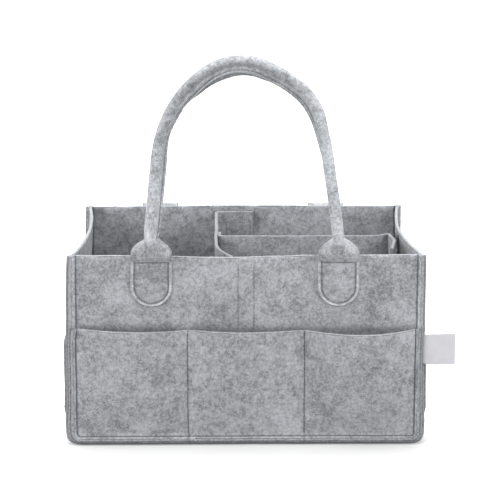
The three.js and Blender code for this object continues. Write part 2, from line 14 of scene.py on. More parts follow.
import bpy
import numpy as np
from mathutils import Euler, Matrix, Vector


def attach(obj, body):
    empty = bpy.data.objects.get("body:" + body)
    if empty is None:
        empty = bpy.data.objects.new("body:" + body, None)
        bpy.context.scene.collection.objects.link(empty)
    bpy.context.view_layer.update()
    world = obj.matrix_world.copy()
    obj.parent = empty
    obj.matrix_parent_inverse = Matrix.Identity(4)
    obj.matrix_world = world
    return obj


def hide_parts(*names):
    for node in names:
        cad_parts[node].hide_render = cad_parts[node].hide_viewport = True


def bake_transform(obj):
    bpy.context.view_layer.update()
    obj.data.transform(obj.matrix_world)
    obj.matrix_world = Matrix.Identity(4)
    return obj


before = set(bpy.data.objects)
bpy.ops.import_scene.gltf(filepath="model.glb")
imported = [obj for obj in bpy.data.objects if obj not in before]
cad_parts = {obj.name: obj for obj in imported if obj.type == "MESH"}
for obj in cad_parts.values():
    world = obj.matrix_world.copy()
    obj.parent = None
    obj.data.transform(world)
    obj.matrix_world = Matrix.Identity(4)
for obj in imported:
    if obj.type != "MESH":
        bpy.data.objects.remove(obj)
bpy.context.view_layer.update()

log = logging.getLogger("caddy")

Array = np.ndarray
Field2 = Callable[[Array, Array], Array]
Socket = bpy.types.NodeSocket
Tree = bpy.types.NodeTree
Material = bpy.types.Material

MM = 0.001
UP = np.array([0.0, 0.0, 1.0])
FORWARD = np.array([0.0, -1.0, 0.0])
RIGHT_ANGLE = math.pi / 2

# The groove that a row of stitches pulls into the felt, and the line of painted shade beside the row.
STITCH_GROOVE = 0.9
STITCH_SHADE = 0.8
# How far the fold of a seam sinks, how far the painted highlight along an upper edge reaches, and a net's
# usual pitch.
FOLD_SINK = 0.35
EDGE_HIGHLIGHT_REACH = 2.3
PITCH = 3.0


class Way(Enum):
    """A choice between two opposite places, -1 and 1 along an axis."""

    @property
    def word(self) -> str:
        """Its name in the names of pieces."""
        return self.name.lower()


class End(Way):
    """The caddy's two ends along Y."""

    FRONT = -1
    BACK = 1


class Side(Way):
    """The caddy's two sides along X."""

    LEFT = -1
    RIGHT = 1


def smooth(t: Array | float) -> Array | float:
    """Eases t from 0 to 1."""
    t = np.clip(t, 0.0, 1.0)
    return t * t * (3.0 - 2.0 * t)


def ramp(value: Array | float, start: float, end: float) -> Array | float:
    """Eases from 0 where a value is at its start to 1 at its end, which may be the lower one."""
    return smooth((value - start) / (end - start))


def bell(distance: Array | float, width: float) -> Array | float:
    """A soft hump: 1 at no distance and about a third at the width."""
    return np.exp(-((distance / width) ** 2))


def unit(v: Array) -> Array:
    """Gives vectors the length 1."""
    return v / np.maximum(np.linalg.norm(v, axis=-1, keepdims=True), 1e-12)


def flat(a: Array, b: Array) -> Array:
    """A field that is 0 everywhere, in the broadcast shape of its two places."""
    return 0 * a * b


def places(x: Array | float, y: Array | float, z: Array | float) -> Array:
    """Joins coordinates, each an array or one number for all, with x, y, z as the last axis."""
    return np.stack(np.broadcast_arrays(x, y, z), -1)


def travel(line: Array) -> Array:
    """How far along a line each of its places lies."""
    return np.concatenate([[0.0], np.cumsum(np.linalg.norm(np.diff(line, axis=0), axis=1))])


def sample(line: Array, run: Array, at: Array) -> Array:
    """Places at wanted distances on a line, where run says how far along it its own places lie."""
    return np.stack([np.interp(at, run, column) for column in line.T], -1)


def standing(plan: Array, z: Array) -> Array:
    """Raises a plan path into a grid of upright places, heights by stops by 3."""
    return places(plan[None, :, 0], plan[None, :, 1], z[:, None])


def bow(start: Array, corner: Array, end: Array, t: Array | float) -> Array:
    """Places, for t from 0 to 1, on the curve that leaves start for the corner and turns to the end."""
    return start * (1 - t) ** 2 + 2 * corner * t * (1 - t) + end * t ** 2


def border(table: Array) -> Array:
    """Walks down a table's first column, along its last row and up its last column."""
    return np.concatenate([table[:, 0], table[-1, 1:-1], table[::-1, -1]])


def groove(distance: Array, depth: float, width: float = STITCH_GROOVE) -> Array:
    """What to add to a face's height along a seam: minus the depth there, a third of it at the width."""
    return -depth * bell(distance, width)


def edge_highlight(height: Array, top: Array | float) -> Array:
    """Painted highlight along an upper edge, where light from above falls: 1 at the edge itself."""
    return bell(height - top, EDGE_HIGHLIGHT_REACH)


def fold_masks(stations: int) -> tuple[Array, Array]:
    """Where a flange bends into its fold, which sinks and takes painted shade, and where it stands free, from
    fold to cut edge.
    """
    at = np.arange(1, stations + 1)
    return bell(at - 3.0, 1.25), ramp(at, 4.0, 6.0)


def spread(lo: float, hi: float, step: float, marks: Sequence[float] = (),
           fine: float = 0.7, reach: float = 4.0) -> Array:
    """Places grid lines, closer together near marks.

    Args:
        lo: the first place.
        hi: the last place.
        step: the usual distance between lines.
        marks: the places that need fine lines.
        fine: the distance between lines at a mark.
        reach: how far from a mark the lines are still close.

    Returns:
        The places, from lo to hi.
    """
    x = np.linspace(lo, hi, 4001)
    near = np.full_like(x, np.inf)
    for mark in marks:
        near = np.minimum(near, np.abs(x - mark))
    pace = fine + (step - fine) * smooth((near - fine) / reach)
    total = np.concatenate([[0.0], np.cumsum(np.diff(x) / ((pace[1:] + pace[:-1]) / 2))])
    count = max(2, int(round(total[-1])))
    return np.interp(np.linspace(0, total[-1], count + 1), total, x)


@dataclass(frozen=True)
class CaddySizes:
    """Sizes that several sub-assemblies share, the same as the solids'."""

    width: float = 330.0
    depth: float = 229.0
    rim: float = 182.0
    felt: float = 3.0
    clearance: float = 0.3
    flange: float = 6.5
    corner_radius: float = 6.0
    side_lean: float = math.radians(45)
    base_lean: float = math.radians(55)
    left_bow: float = 7.0
    right_bow: float = 8.0
    sag_ramp: float = 42.0
    pocket_top: float = 110.0
    tape_width: float = 20.0
    tape_thickness: float = 1.5
    tape_length: float = 112.0
    tape_top_drop: float = 4.0
    tape_stitch_inset: float = 2.2
    fold_trim: float = 1.5

    @property
    def first_ply(self) -> float:
        """Middle of the first ply, counted from the plane where two plies meet."""
        return (self.felt + self.clearance) / 2

    @property
    def second_ply(self) -> float:
        """Middle of the second ply, counted the same way."""
        return self.first_ply + self.felt + self.clearance

    @property
    def stack(self) -> float:
        """Outer face of the first ply."""
        return self.first_ply + self.felt / 2

    @property
    def side_slant(self) -> float:
        """Half the turn from a side's plane into its flange."""
        return (RIGHT_ANGLE - self.side_lean) / 2

    @property
    def inside_x(self) -> float:
        """Half the distance between the side seams."""
        return (self.width / 2 - self.flange * math.cos(self.side_lean)
                - self.stack * math.sin(self.side_lean))

    @property
    def inside_y(self) -> float:
        """Half the distance between the end seams."""
        return (self.depth / 2 - self.flange * math.sin(self.side_lean)
                - self.stack * math.cos(self.side_lean))

    @property
    def seam_z(self) -> float:
        """Height of the base seams."""
        return self.flange * math.cos(self.base_lean) + self.stack * math.sin(self.base_lean)

    @property
    def corner_z(self) -> float:
        """Height where a side seam starts to turn into the base seam."""
        return self.seam_z + self.corner_radius

    @property
    def base_sag(self) -> float:
        """How far the base hangs below its seams."""
        return self.seam_z - self.stack

    @property
    def panel_inner_y(self) -> float:
        """Inner face of an end panel, as a distance from the middle."""
        return self.inside_y + self.first_ply - self.felt / 2

    @property
    def tape_top(self) -> float:
        """Upper end of the loop tapes."""
        return self.rim - self.tape_top_drop

    @property
    def tape_rows(self) -> tuple[float, float]:
        """Heights of the upper and the lower row of stitches through a loop tape."""
        inset = self.tape_stitch_inset
        return self.tape_top - inset, self.tape_top - self.tape_length + inset

    def seam_stops(self, z: Sequence[float], turns: Sequence[float] = (), x: Sequence[float] = ()) -> Array:
        """Stops on the seams' corner line: down the left, along the base and up the right.

        Args:
            z: heights of the stops on a side.
            turns: angles of the stops in a lower corner.
            x: places of the stops on the base's left half, the last in the middle.

        Returns:
            Rows of x, z, the way out's x and z, and the flange's lean.
        """
        left, radius = self.inside_x - self.corner_radius, self.corner_radius
        half = [(-self.inside_x, height, -1.0, 0.0, self.side_lean) for height in z]
        for turn in turns:
            cos, sin = math.cos(turn), math.sin(turn)
            lean = self.side_lean + (self.base_lean - self.side_lean) * turn / RIGHT_ANGLE
            half.append((-(left + radius * cos), self.corner_z - radius * sin, -cos, -sin, lean))
        half += [(place, self.seam_z, 0.0, -1.0, self.base_lean) for place in x]
        half = np.array(half)
        mirrored = half[:-1] if len(x) else half
        return np.concatenate([half, mirrored[::-1] * np.array([-1.0, 1.0, -1.0, 1.0, 1.0])])


SIZES = CaddySizes()


class Drift:
    """The felt's slow unevenness and the body's slight spread towards its base, alike for all pieces."""

    # Wave length, height and number of waves.
    WAVES = ((150.0, 0.55, 7), (64.0, 0.26, 9), (27.0, 0.09, 12))
    WAVE_GAIN = 1.6
    CALM_HEIGHT = 30.0
    # Height, then the steps outward of the left edge, left panel, right panel and right edge.
    SPREAD = ((0.0, 5.0, 3.6, 1.4, 1.4), (20.0, 6.0, 4.0, 1.5, 2.7), (30.0, 5.2, 4.0, 1.5, 2.1),
              (40.0, 4.5, 4.0, 1.5, 1.5), (75.0, 4.5, 4.0, 1.5, 1.3),
              (104.0, 3.9, 3.4, 1.5, 1.3), (112.0, 3.7, 1.9, 1.2, 1.4), (122.0, 3.2, 1.4, 1.1, 1.2),
              (150.0, 2.0, 0.7, 0.9, 1.0),
              (182.0, 0.7, 0.3, 0.4, 0.5))
    BASE_PUSH = 4.4
    BASE_DROP = 2.1
    BACK_LEFT = 2.4
    BACK_RISE = 1.7

    def __init__(self, seed: int, sizes: CaddySizes) -> None:
        """Draws the waves.

        Args:
            seed: the seed of the draws.
            sizes: the caddy's sizes.
        """
        self.sizes = sizes
        rng = np.random.default_rng(seed)
        self.waves = []
        for length, height, count in self.WAVES:
            for _ in range(count):
                way = unit(rng.normal(size=3))
                gain = self.WAVE_GAIN / math.sqrt(count)
                push = unit(rng.normal(size=3)) * height * rng.uniform(0.5, 1.0) * gain
                pace = 2 * math.pi / (length * rng.uniform(0.75, 1.3))
                self.waves.append((way * pace, push, rng.uniform(0, 2 * math.pi)))

    def __call__(self, points: Array) -> Array:
        """Moves points with the felt, less near the floor.

        Args:
            points: N by 3 places.

        Returns:
            The moved places.
        """
        s = self.sizes
        x, y, z = points.T
        shift = np.zeros_like(points)
        for pace, push, phase in self.waves:
            shift += np.sin(points @ pace + phase)[:, None] * push
        shift[:, 2] *= ramp(z, 0, self.CALM_HEIGHT)

        heights, *steps = np.array(self.SPREAD).T
        left_edge, left_panel, right_panel, right_edge = (np.interp(z, heights, row) for row in steps)
        left_back = self.BACK_LEFT * ramp(y, -60, 110)
        inward = np.clip(np.abs(x) / (s.inside_x - 3), 0, 1)
        edge = ramp(np.abs(x), s.inside_x - 2, s.inside_x + 6)
        at_panel = np.where(x < 0, -(left_panel + left_back), right_panel)
        at_edge = np.where(x < 0, -(left_edge + left_back), right_edge)
        shift[:, 0] += inward * at_panel * (1 - edge) + edge * at_edge

        seam = ramp(np.abs(y), s.inside_y - 8, s.inside_y)
        shift[:, 1] += np.sign(y) * self.BASE_PUSH * ramp(z, 14, 0) * seam
        shift[:, 2] += self.BACK_RISE * ramp(y, -20, 110) * ramp(z, 0, s.rim)
        shift[:, 2] -= self.BASE_DROP * ramp(z, 0, 6) * ramp(z, 20, 8) * seam
        return points + shift


class Net:
    """An open net of quads, the middle surface of a piece of felt."""

    def __init__(self, *grids: Array) -> None:
        """Weaves the grids of places that are given, each rows by columns by 3."""
        self._points: list[Array] = []
        self._quads: list[Array] = []
        self._count = 0
        for grid in grids:
            self.weave(self.add(grid))

    def add(self, points: Array) -> Array:
        """Adds places.

        Args:
            points: an array whose last axis is x, y, z.

        Returns:
            Their numbers, in the same shape.
        """
        flat = points.reshape(-1, 3)
        numbers = np.arange(self._count, self._count + len(flat)).reshape(points.shape[:-1])
        self._points.append(flat)
        self._count += len(flat)
        return numbers

    def weave(self, table: Array) -> None:
        """Joins a table of point numbers into quads."""
        quads = np.stack([table[:-1, :-1], table[:-1, 1:], table[1:, 1:], table[1:, :-1]], -1)
        self._quads.append(quads.reshape(-1, 4))

    @property
    def points(self) -> Array:
        """All places, N by 3."""
        return np.concatenate(self._points)

    @property
    def quads(self) -> Array:
        """All quads, M by 4."""
        return np.concatenate(self._quads)

    def facing(self, outward: Sequence[float], face: int = 0) -> "Net":
        """Turns all quads if one of them faces the wrong way.

        Args:
            outward: the way that quad should face.
            face: the number of the quad that is looked at.

        Returns:
            The net itself.
        """
        p, q = self.points, self.quads[face]
        normal = np.cross(p[q[2]] - p[q[0]], p[q[3]] - p[q[1]])
        if normal @ np.asarray(outward, float) < 0:
            self._quads = [quads[:, ::-1] for quads in self._quads]
        return self


@dataclass
class Ply:
    """A ply of felt: its net, and masks for the fold of its seam and the free flange beyond."""

    net: Net
    crease: Array
    fin: Array


@dataclass
class Shell:
    """A closed mesh and masks: 1 on cut edges, and how much painted shade and painted highlight each point
    takes.
    """

    points: Array
    faces: Array
    cut: Array
    pressed: Array | None = None
    stretched: Array | None = None


EDGE_TURNS = (math.radians(58), math.radians(20), math.radians(-20), math.radians(-58))
EDGE_HEIGHT = 0.86
EDGE_FADE = 0.45


def net_normals(p: Array, q: Array) -> tuple[Array, Array]:
    """Works out a net's normals.

    Args:
        p: its places.
        q: its quads.

    Returns:
        A normal for each place, and how much further a face lies off it where the net bends.
    """
    around = unit(np.cross(p[q[:, 2]] - p[q[:, 0]], p[q[:, 3]] - p[q[:, 1]]))
    normal = np.zeros_like(p)
    lean, share = np.zeros(len(p)), np.zeros(len(p))
    for k in range(4):
        np.add.at(normal, q[:, k], around)
    normal = unit(normal)
    for k in range(4):
        np.add.at(lean, q[:, k], np.einsum("ij,ij->i", around, normal[q[:, k]]))
        np.add.at(share, q[:, k], 1.0)
    return normal, 1.0 / np.clip(lean / np.maximum(share, 1), 0.6, 1.0)


def open_edges(p: Array, q: Array, normal: Array) -> tuple[Array, Array, Array]:
    """Finds a net's open edges.

    Args:
        p: its places.
        q: its quads.
        normal: its normals.

    Returns:
        The first and the second point of each open edge, and the way out at every place.
    """
    a, b = q.T.ravel(), np.roll(q, -1, axis=1).T.ravel()
    free = ~np.isin(a * len(p) + b, b * len(p) + a)
    a, b = a[free], b[free]
    out = np.zeros_like(p)
    way = unit(p[b] - p[a])
    for end in (a, b):
        np.add.at(out, end, np.cross(way, normal[end]))
    return a, b, unit(out)


def thicken(net: Net, thickness: float, relief: Array | float = 0.0, rounding: float = 0.9,
            pressed: Array | None = None, stretched: Array | None = None,
            joint_shade: tuple[Array, Array] | None = None) -> Shell:
    """Gives a net its thickness and soft cut edges.

    Args:
        net: the middle surface.
        thickness: the felt's thickness.
        relief: what to add to each point's height on the outer face.
        rounding: how far the edge rounds over.
        pressed: painted shade at each point, 0 to 1, in creases, stitch grooves, joints and other shaded
            spots.
        stretched: painted highlight at each point, 0 to 1.
        joint_shade: painted shade on each cut edge where it meets the plies outside and inside it, 0 to 1.

    Returns:
        The closed mesh.
    """
    p, q = net.points, net.quads
    count = len(p)
    normal, mitre = net_normals(p, q)
    up, down = (thickness / 2 + relief) * mitre, thickness / 2 * mitre
    a, b, out = open_edges(p, q, normal)
    rim = np.unique(np.concatenate([a, b]))
    back = np.zeros(count)
    back[rim] = rounding
    layers = [p + normal * up[:, None] - out * back[:, None],
              p - normal * down[:, None] - out * back[:, None]]
    cut = [np.where(back > 0, EDGE_FADE, 0.0)] * 2

    edge_number = np.zeros(count, int)
    edge_number[rim] = np.arange(len(rim))
    starts = [2 * count + row * len(rim) for row in range(len(EDGE_TURNS))]
    ragged = np.sin(rim * 2.399) * 0.07 + np.sin(rim * 0.713) * 0.06
    for turn in EDGE_TURNS:
        side = up if turn > 0 else down
        height = side[rim] * math.sin(turn) / math.sin(EDGE_TURNS[0]) * EDGE_HEIGHT
        reach = rounding * (1 - math.cos(turn) ** 0.55) - ragged
        layers.append(p[rim] + normal[rim] * height[:, None] - out[rim] * reach[:, None])
        cut.append(np.ones(len(rim)))
    first, second = ([end, *[start + edge_number[end] for start in starts], end + count] for end in (a, b))
    faces = [q, q[:, ::-1] + count]
    for k in range(len(first) - 1):
        faces.append(np.stack([second[k], first[k], first[k + 1], second[k + 1]], -1))

    masks = [np.zeros(count) if mask is None else mask for mask in (pressed, stretched)]
    masks = [np.concatenate([mask, mask, *[mask[rim]] * len(EDGE_TURNS)]) for mask in masks]
    # Painted shade in the joints where a cut edge meets the plies beside it, patchy along the edge.
    if joint_shade is not None:
        x, _, z = p[rim].T
        patchy = 0.72 + 0.24 * np.sin((x + 1.3 * z) / 4.1) + 0.2 * np.sin((x - z) / 1.9)
        for start, edge_shade in zip((starts[0], starts[-1]), joint_shade):
            corner = masks[0][start:start + len(rim)]
            np.maximum(corner, edge_shade[rim] * patchy, out=corner)
    return Shell(np.concatenate(layers), np.concatenate(faces), np.concatenate(cut), *masks)


class Thread:
    """Rows of sewn stitches, gathered into one mesh."""

    SIDES = 6
    RINGS = 6
    # A stitch's rise above the face and its sink into it, both in thread radii.
    RISE = 0.825
    SINK = 0.45
    # How deep a row lies in the corner of a fold and how far it stands off the felt there.
    CORNER = 0.15
    STAND_OFF = 0.25
    # How far a row stops short of an edge.
    SHORT = 1.5

    def __init__(self, pitch: float = 3.3, length: float = 2.35, radius: float = 0.36) -> None:
        """Sets the stitch.

        Args:
            pitch: from one stitch to the next.
            length: the part of it that shows.
            radius: the thread's.
        """
        self.pitch, self.length, self.radius = pitch, length, radius
        self._points: list[Array] = []
        self._faces: list[Array] = []
        self._count = 0

    def row(self, path: Array, normal: Array | Sequence[float]) -> "Thread":
        """Sews along a line.

        Args:
            path: N by 3 places on the felt's face.
            normal: the face's normal at each, or one for all.

        Returns:
            The thread itself.
        """
        run = travel(path)
        count = max(1, int(run[-1] // self.pitch))
        slack = (run[-1] - count * self.pitch + self.pitch - self.length) / 2
        t = np.linspace(0, 1, self.RINGS)
        starts = slack + np.arange(count) * self.pitch
        at = (starts[:, None] + t[None, :] * self.length).ravel()
        lift = unit(sample(np.broadcast_to(normal, path.shape), run, at))
        along = unit(sample(path, run, at + 0.05) - sample(path, run, at - 0.05))
        across = unit(np.cross(lift, along))
        lift = np.cross(along, across)
        height = np.tile(self.RISE * np.sin(math.pi * t) - self.SINK, count)
        centre = sample(path, run, at) + lift * height[:, None] * self.radius
        girth = np.tile(np.clip(np.sin(math.pi * (0.06 + 0.88 * t)), 0, 1) ** 0.4, count) * self.radius
        turn = (2 * math.pi * np.arange(self.SIDES) / self.SIDES)[:, None]
        spokes = np.cos(turn) * across[:, None] + np.sin(turn) * lift[:, None]
        points = (centre[:, None] + girth[:, None, None] * spokes).reshape(count, self.RINGS, self.SIDES, 3)
        numbers = np.arange(points[..., 0].size).reshape(points.shape[:-1]) + self._count
        turned = np.roll(numbers, -1, axis=2)
        quads = np.stack([numbers[:, :-1], turned[:, :-1], turned[:, 1:], numbers[:, 1:]], -1)
        caps = []
        for r in (numbers[:, 0, ::-1], numbers[:, -1]):
            caps += [r[:, [0, 1, 2, 5]], r[:, [5, 2, 3, 4]]]
        self._points.append(points.reshape(-1, 3))
        self._faces.append(np.concatenate([quads.reshape(-1, 4), *caps]))
        self._count += points[..., 0].size
        return self

    def outline(self, corners: Sequence[Sequence[float]], place: Callable, normal: Sequence[float],
                steps: int = 40) -> None:
        """Sews along the legs between corners, in two coordinates that place() puts on the felt's face."""
        for start, stop in zip(corners, corners[1:]):
            self.row(place(*np.linspace(start, stop, steps).T), normal)

    def shell(self) -> Shell:
        """All stitches as one mesh."""
        points = np.concatenate(self._points)
        return Shell(points, np.concatenate(self._faces), np.zeros(len(points)))


class Nodes:
    """Short ways to add and link the nodes of one tree."""

    def __init__(self, tree: Tree) -> None:
        """Takes a material's, a world's or a group's node tree."""
        self.tree = tree

    def add(self, kind: str, settings: dict | None = None, **inputs: object) -> bpy.types.Node:
        """Adds a node.

        Args:
            kind: the node's type name, without ShaderNode.
            settings: its properties.
            **inputs: its sockets, each a value or an output socket. They go by name, with _ for a
                space, or by number, as i0.

        Returns:
            The node.
        """
        node = self.tree.nodes.new("ShaderNode" + kind)
        for key, value in (settings or {}).items():
            setattr(node, key, value)
        for key, value in inputs.items():
            numbered = key[0] == "i" and key[1:].isdigit()
            socket = node.inputs[int(key[1:]) if numbered else key.replace("_", " ")]
            if isinstance(value, Socket):
                self.tree.links.new(value, socket)
            else:
                socket.default_value = value
        return node

    def math(self, operation: str, a: object, b: object = 0.0, clamp: bool = False) -> Socket:
        """One arithmetic step on two numbers or sockets."""
        return self.add("Math", {"operation": operation, "use_clamp": clamp}, i0=a, i1=b).outputs[0]

    def remap(self, value: Socket, low: float, high: float, to_low: float = 0.0,
              to_high: float = 1.0) -> Socket:
        """Eases a value from one range to another, clamped."""
        return self.add("MapRange", {"interpolation_type": "SMOOTHSTEP"}, Value=value, From_Min=low,
                        From_Max=high, To_Min=to_low, To_Max=to_high).outputs[0]

    def mix(self, share: object, a: object, b: object, blend: str = "MIX") -> Socket:
        """Mixes two colours."""
        return self.add("Mix", {"data_type": "RGBA", "blend_type": blend}, i0=share, i6=a, i7=b).outputs[2]


def new_group(name: str, greys: dict[str, float], numbers: dict[str, float]) -> tuple:
    """Starts a shader node group that turns a place into a colour and a height.

    Args:
        name: the group's name.
        greys: the colour inputs, each with its usual grey.
        numbers: the number inputs, each with its usual value.

    Returns:
        The group's nodes helper, its input sockets and its output sockets, by name.
    """
    tree = bpy.data.node_groups.new(name, "ShaderNodeTree")
    inputs = [("Place", "Vector", (0, 0, 0)),
              *[(label, "Color", (grey, grey, grey, 1)) for label, grey in greys.items()],
              *[(label, "Float", value) for label, value in numbers.items()]]
    for label, kind, usual in inputs:
        socket = tree.interface.new_socket(label, in_out="INPUT", socket_type="NodeSocket" + kind)
        socket.default_value = usual
    for label, kind in (("Color", "Color"), ("Height", "Float")):
        tree.interface.new_socket(label, in_out="OUTPUT", socket_type="NodeSocket" + kind)
    source, sink = tree.nodes.new("NodeGroupInput"), tree.nodes.new("NodeGroupOutput")
    return Nodes(tree), source.outputs, sink.inputs


@cache
def fibre_group() -> Tree:
    """The node group of felt's mixed fibres: clouds, flecks, hairs and cut edges, painted shade in creases
    and painted highlight.
    """
    greys = {"Middle": 0.4, "Light": 0.6, "Dark": 0.2, "Edge": 0.4, "Edge Dark": 0.2, "Crease": 0.1,
             "Stretch": 1.4}
    n, source, sink = new_group("pressed fibres", greys, {"Contrast": 1.0})
    place = source["Place"]
    stir = n.add("TexNoise", Vector=place, Scale=150.0, Detail=2.0)
    warp = n.add("VectorMath", {"operation": "MULTIPLY_ADD"}, i0=stir.outputs["Color"],
                 i1=(0.0014, 0.0014, 0.0014), i2=place).outputs[0]
    banks, clouds, flecks, fine, ragged = (
        n.add("TexNoise", Vector=where, Scale=scale, Detail=detail, Roughness=roughness).outputs[0]
        for where, scale, detail, roughness in (
            (place, 24.0, 2.0, 0.5), (place, 85.0, 4.0, 0.6), (warp, 310.0, 5.0, 0.66),
            (warp, 950.0, 3.0, 0.7), (place, 520.0, 3.0, 0.7)))
    pale_hair, dark_hair = (
        n.math("MULTIPLY", n.remap(n.add("TexVoronoi", {"feature": "DISTANCE_TO_EDGE"}, Vector=warp,
                                         Scale=scale).outputs[0], width, 0.0), n.remap(clouds, *bounds))
        for scale, width, bounds in ((420.0, 0.07, (0.4, 0.62)), (340.0, 0.06, (0.58, 0.4))))
    tone = n.math("SUBTRACT", n.math("MULTIPLY", pale_hair, 0.12), n.math("MULTIPLY", dark_hair, 0.2))
    for layer, gain in ((clouds, 0.66), (flecks, 1.5), (banks, 0.6), (fine, 1.3)):
        tone = n.math("ADD", tone, n.math("MULTIPLY", n.math("SUBTRACT", layer, 0.5), gain))
    tone = n.math("MULTIPLY", tone, source["Contrast"])
    lighter = n.mix(n.math("MULTIPLY", tone, 2.2, clamp=True), source["Middle"], source["Light"])
    colour = n.mix(n.math("MULTIPLY", tone, -2.2, clamp=True), lighter, source["Dark"])
    cut, pressed, stretched = (n.add("Attribute", {"attribute_name": label}).outputs["Fac"]
                               for label in ("cut_edge", "pressed", "stretched"))
    edge = n.mix(n.remap(ragged, 0.3, 0.68), source["Edge Dark"], source["Edge"])
    colour = n.mix(n.math("MULTIPLY", cut, 0.85), colour, edge)
    # Painted highlight: the felt is lightened by the gain where the highlight mask is set.
    colour = n.mix(stretched, colour, n.mix(1.0, colour, source["Stretch"], "MULTIPLY"))
    # Painted shade: creases, stitch grooves, joints and shaded spots darken towards the shade colour.
    colour = n.mix(n.math("MULTIPLY", pressed, 0.8, clamp=True), colour, source["Crease"])
    height = n.math("ADD", n.math("MULTIPLY", flecks, 0.4), n.math("MULTIPLY", fine, 0.6))
    height = n.math("ADD", height, n.math("MULTIPLY", pale_hair, 0.2))
    n.tree.links.new(colour, sink["Color"])
    n.tree.links.new(height, sink["Height"])
    return n.tree


@cache
def twist_group() -> Tree:
    """The node group of sewing thread: two plies twisted together."""
    n, source, sink = new_group("thread twist", {"Light": 0.6, "Dark": 0.2}, {})
    twist = n.add("TexWave", {"bands_direction": "DIAGONAL"}, Vector=source["Place"], Scale=420.0,
                  Distortion=1.5).outputs["Fac"]
    n.tree.links.new(n.mix(twist, source["Dark"], source["Light"]), sink["Color"])
    n.tree.links.new(twist, sink["Height"])
    return n.tree


COOL = (0.979, 0.993, 1.018)
PALE = (0.985, 0.985, 1.0)


def shade(value: float, tint: tuple[float, float, float] = COOL) -> tuple:
    """Turns a display grey into a shader colour.

    Args:
        value: the grey, 0 to 255.
        tint: what each channel is multiplied by.

    Returns:
        The linear colour with alpha 1.
    """
    linear = []
    for part in tint:
        c = value / 255 * part
        linear.append(c / 12.92 if c <= 0.04045 else ((c + 0.055) / 1.055) ** 2.4)
    return (*linear, 1.0)


@dataclass(frozen=True)
class Finish:
    """What all finishes share: a name, a slot name that nothing here reads, and the way a material starts and
    ends.
    """

    name: str
    slot: str

    def begin(self) -> tuple[Nodes, Socket]:
        """Starts the material.

        Returns:
            Its nodes helper and the place on the object.
        """
        material = bpy.data.materials.new(self.name)
        material.use_nodes = True
        n = Nodes(material.node_tree)
        return n, n.add("TexCoord").outputs["Object"]

    def end(self, n: Nodes, colour: Socket, height: Socket,
            relief: tuple[float, float], **plain: float) -> Material:
        """Joins colour and relief to the shader.

        Args:
            n: the nodes helper that begin() gave.
            colour: the base colour.
            height: the relief's height.
            relief: the bump's strength and its depth in metres.
            **plain: the shader's own numbers by socket, with _ for a space.

        Returns:
            The material.
        """
        shader = n.tree.nodes["Principled BSDF"]
        bump = n.add("Bump", Strength=relief[0], Distance=relief[1], Height=height)
        n.tree.links.new(colour, shader.inputs["Base Color"])
        n.tree.links.new(bump.outputs[0], shader.inputs["Normal"])
        for label, value in plain.items():
            shader.inputs[label.replace("_", " ")].default_value = value
        return bpy.data.materials[self.name]


@dataclass(frozen=True)
class FeltFinish(Finish):
    """Melange felt: grey fibres, lighter and looser where the felt is cut."""

    middle: tuple
    light: tuple
    dark: tuple
    edge: tuple
    edge_dark: tuple
    # The colour that the painted shade darkens towards.
    crease: tuple
    # How far the painted highlight lightens the felt.
    stretch: float = 1.4
    contrast: float = 1.22
    relief: tuple[float, float] = (0.75, 0.00045)

    def build(self) -> Material:
        """Makes the material."""
        n, place = self.begin()
        fibres = n.add("Group", {"node_tree": fibre_group()}, Place=place, Middle=self.middle,
                       Light=self.light, Dark=self.dark, Edge=self.edge, Edge_Dark=self.edge_dark,
                       Crease=self.crease, Stretch=(self.stretch,) * 3 + (1.0,), Contrast=self.contrast)
        return self.end(n, *fibres.outputs[:2], self.relief, Roughness=0.95, Specular_IOR_Level=0.12,
                        Sheen_Weight=0.18, Sheen_Roughness=0.55)


@dataclass(frozen=True)
class TapeFinish(Finish):
    """Hook or loop tape: a pimpled or a fuzzy face on a woven ground."""

    light: tuple
    dark: tuple
    scale: float
    hooks: bool
    relief: tuple[float, float] = (0.9, 0.0006)

    def build(self) -> Material:
        """Makes the material."""
        n, place = self.begin()
        if self.hooks:
            dots = n.add("TexVoronoi", {"feature": "F1"}, Vector=place, Scale=self.scale, Randomness=0.25)
            height = n.remap(dots.outputs["Distance"], 0.5, 0.15)
        else:
            tangle = n.add("TexNoise", Vector=place, Scale=self.scale, Detail=6.0, Roughness=0.75,
                           Distortion=1.6)
            height = n.remap(tangle.outputs[0], 0.35, 0.65)
        return self.end(n, n.mix(height, self.dark, self.light), height, self.relief,
                        Roughness=0.6 if self.hooks else 0.9, Specular_IOR_Level=0.3 if self.hooks else 0.15)


@dataclass(frozen=True)
class ThreadFinish(Finish):
    """Sewing thread."""

    light: tuple
    dark: tuple
    relief: tuple[float, float] = (0.5, 0.00015)

    def build(self) -> Material:
        """Makes the material."""
        n, place = self.begin()
        twist = n.add("Group", {"node_tree": twist_group()}, Place=place, Light=self.light, Dark=self.dark)
        return self.end(n, *twist.outputs[:2], self.relief, Roughness=0.7, Specular_IOR_Level=0.25)


@dataclass(frozen=True)
class WovenFinish(Finish):
    """A fine woven tape, such as the bare side tag."""

    light: tuple
    dark: tuple
    yarn_scale: float = 2600.0 / 6
    relief: tuple[float, float] = (0.5, 0.00012)

    def build(self) -> Material:
        """Makes the material."""
        n, place = self.begin()
        warp, weft = (n.add("TexWave", {"bands_direction": axis}, Vector=place, Scale=self.yarn_scale,
                            Distortion=0.2).outputs["Fac"] for axis in "XZ")
        weave = n.math("MULTIPLY", warp, weft)
        cloud = n.add("TexNoise", Vector=place, Scale=160.0, Detail=3.0).outputs[0]
        tone = n.math("ADD", n.math("MULTIPLY", weave, 0.6), n.math("MULTIPLY", cloud, 0.4), clamp=True)
        return self.end(n, n.mix(tone, self.dark, self.light), weave, self.relief, Roughness=0.75,
                        Specular_IOR_Level=0.25)
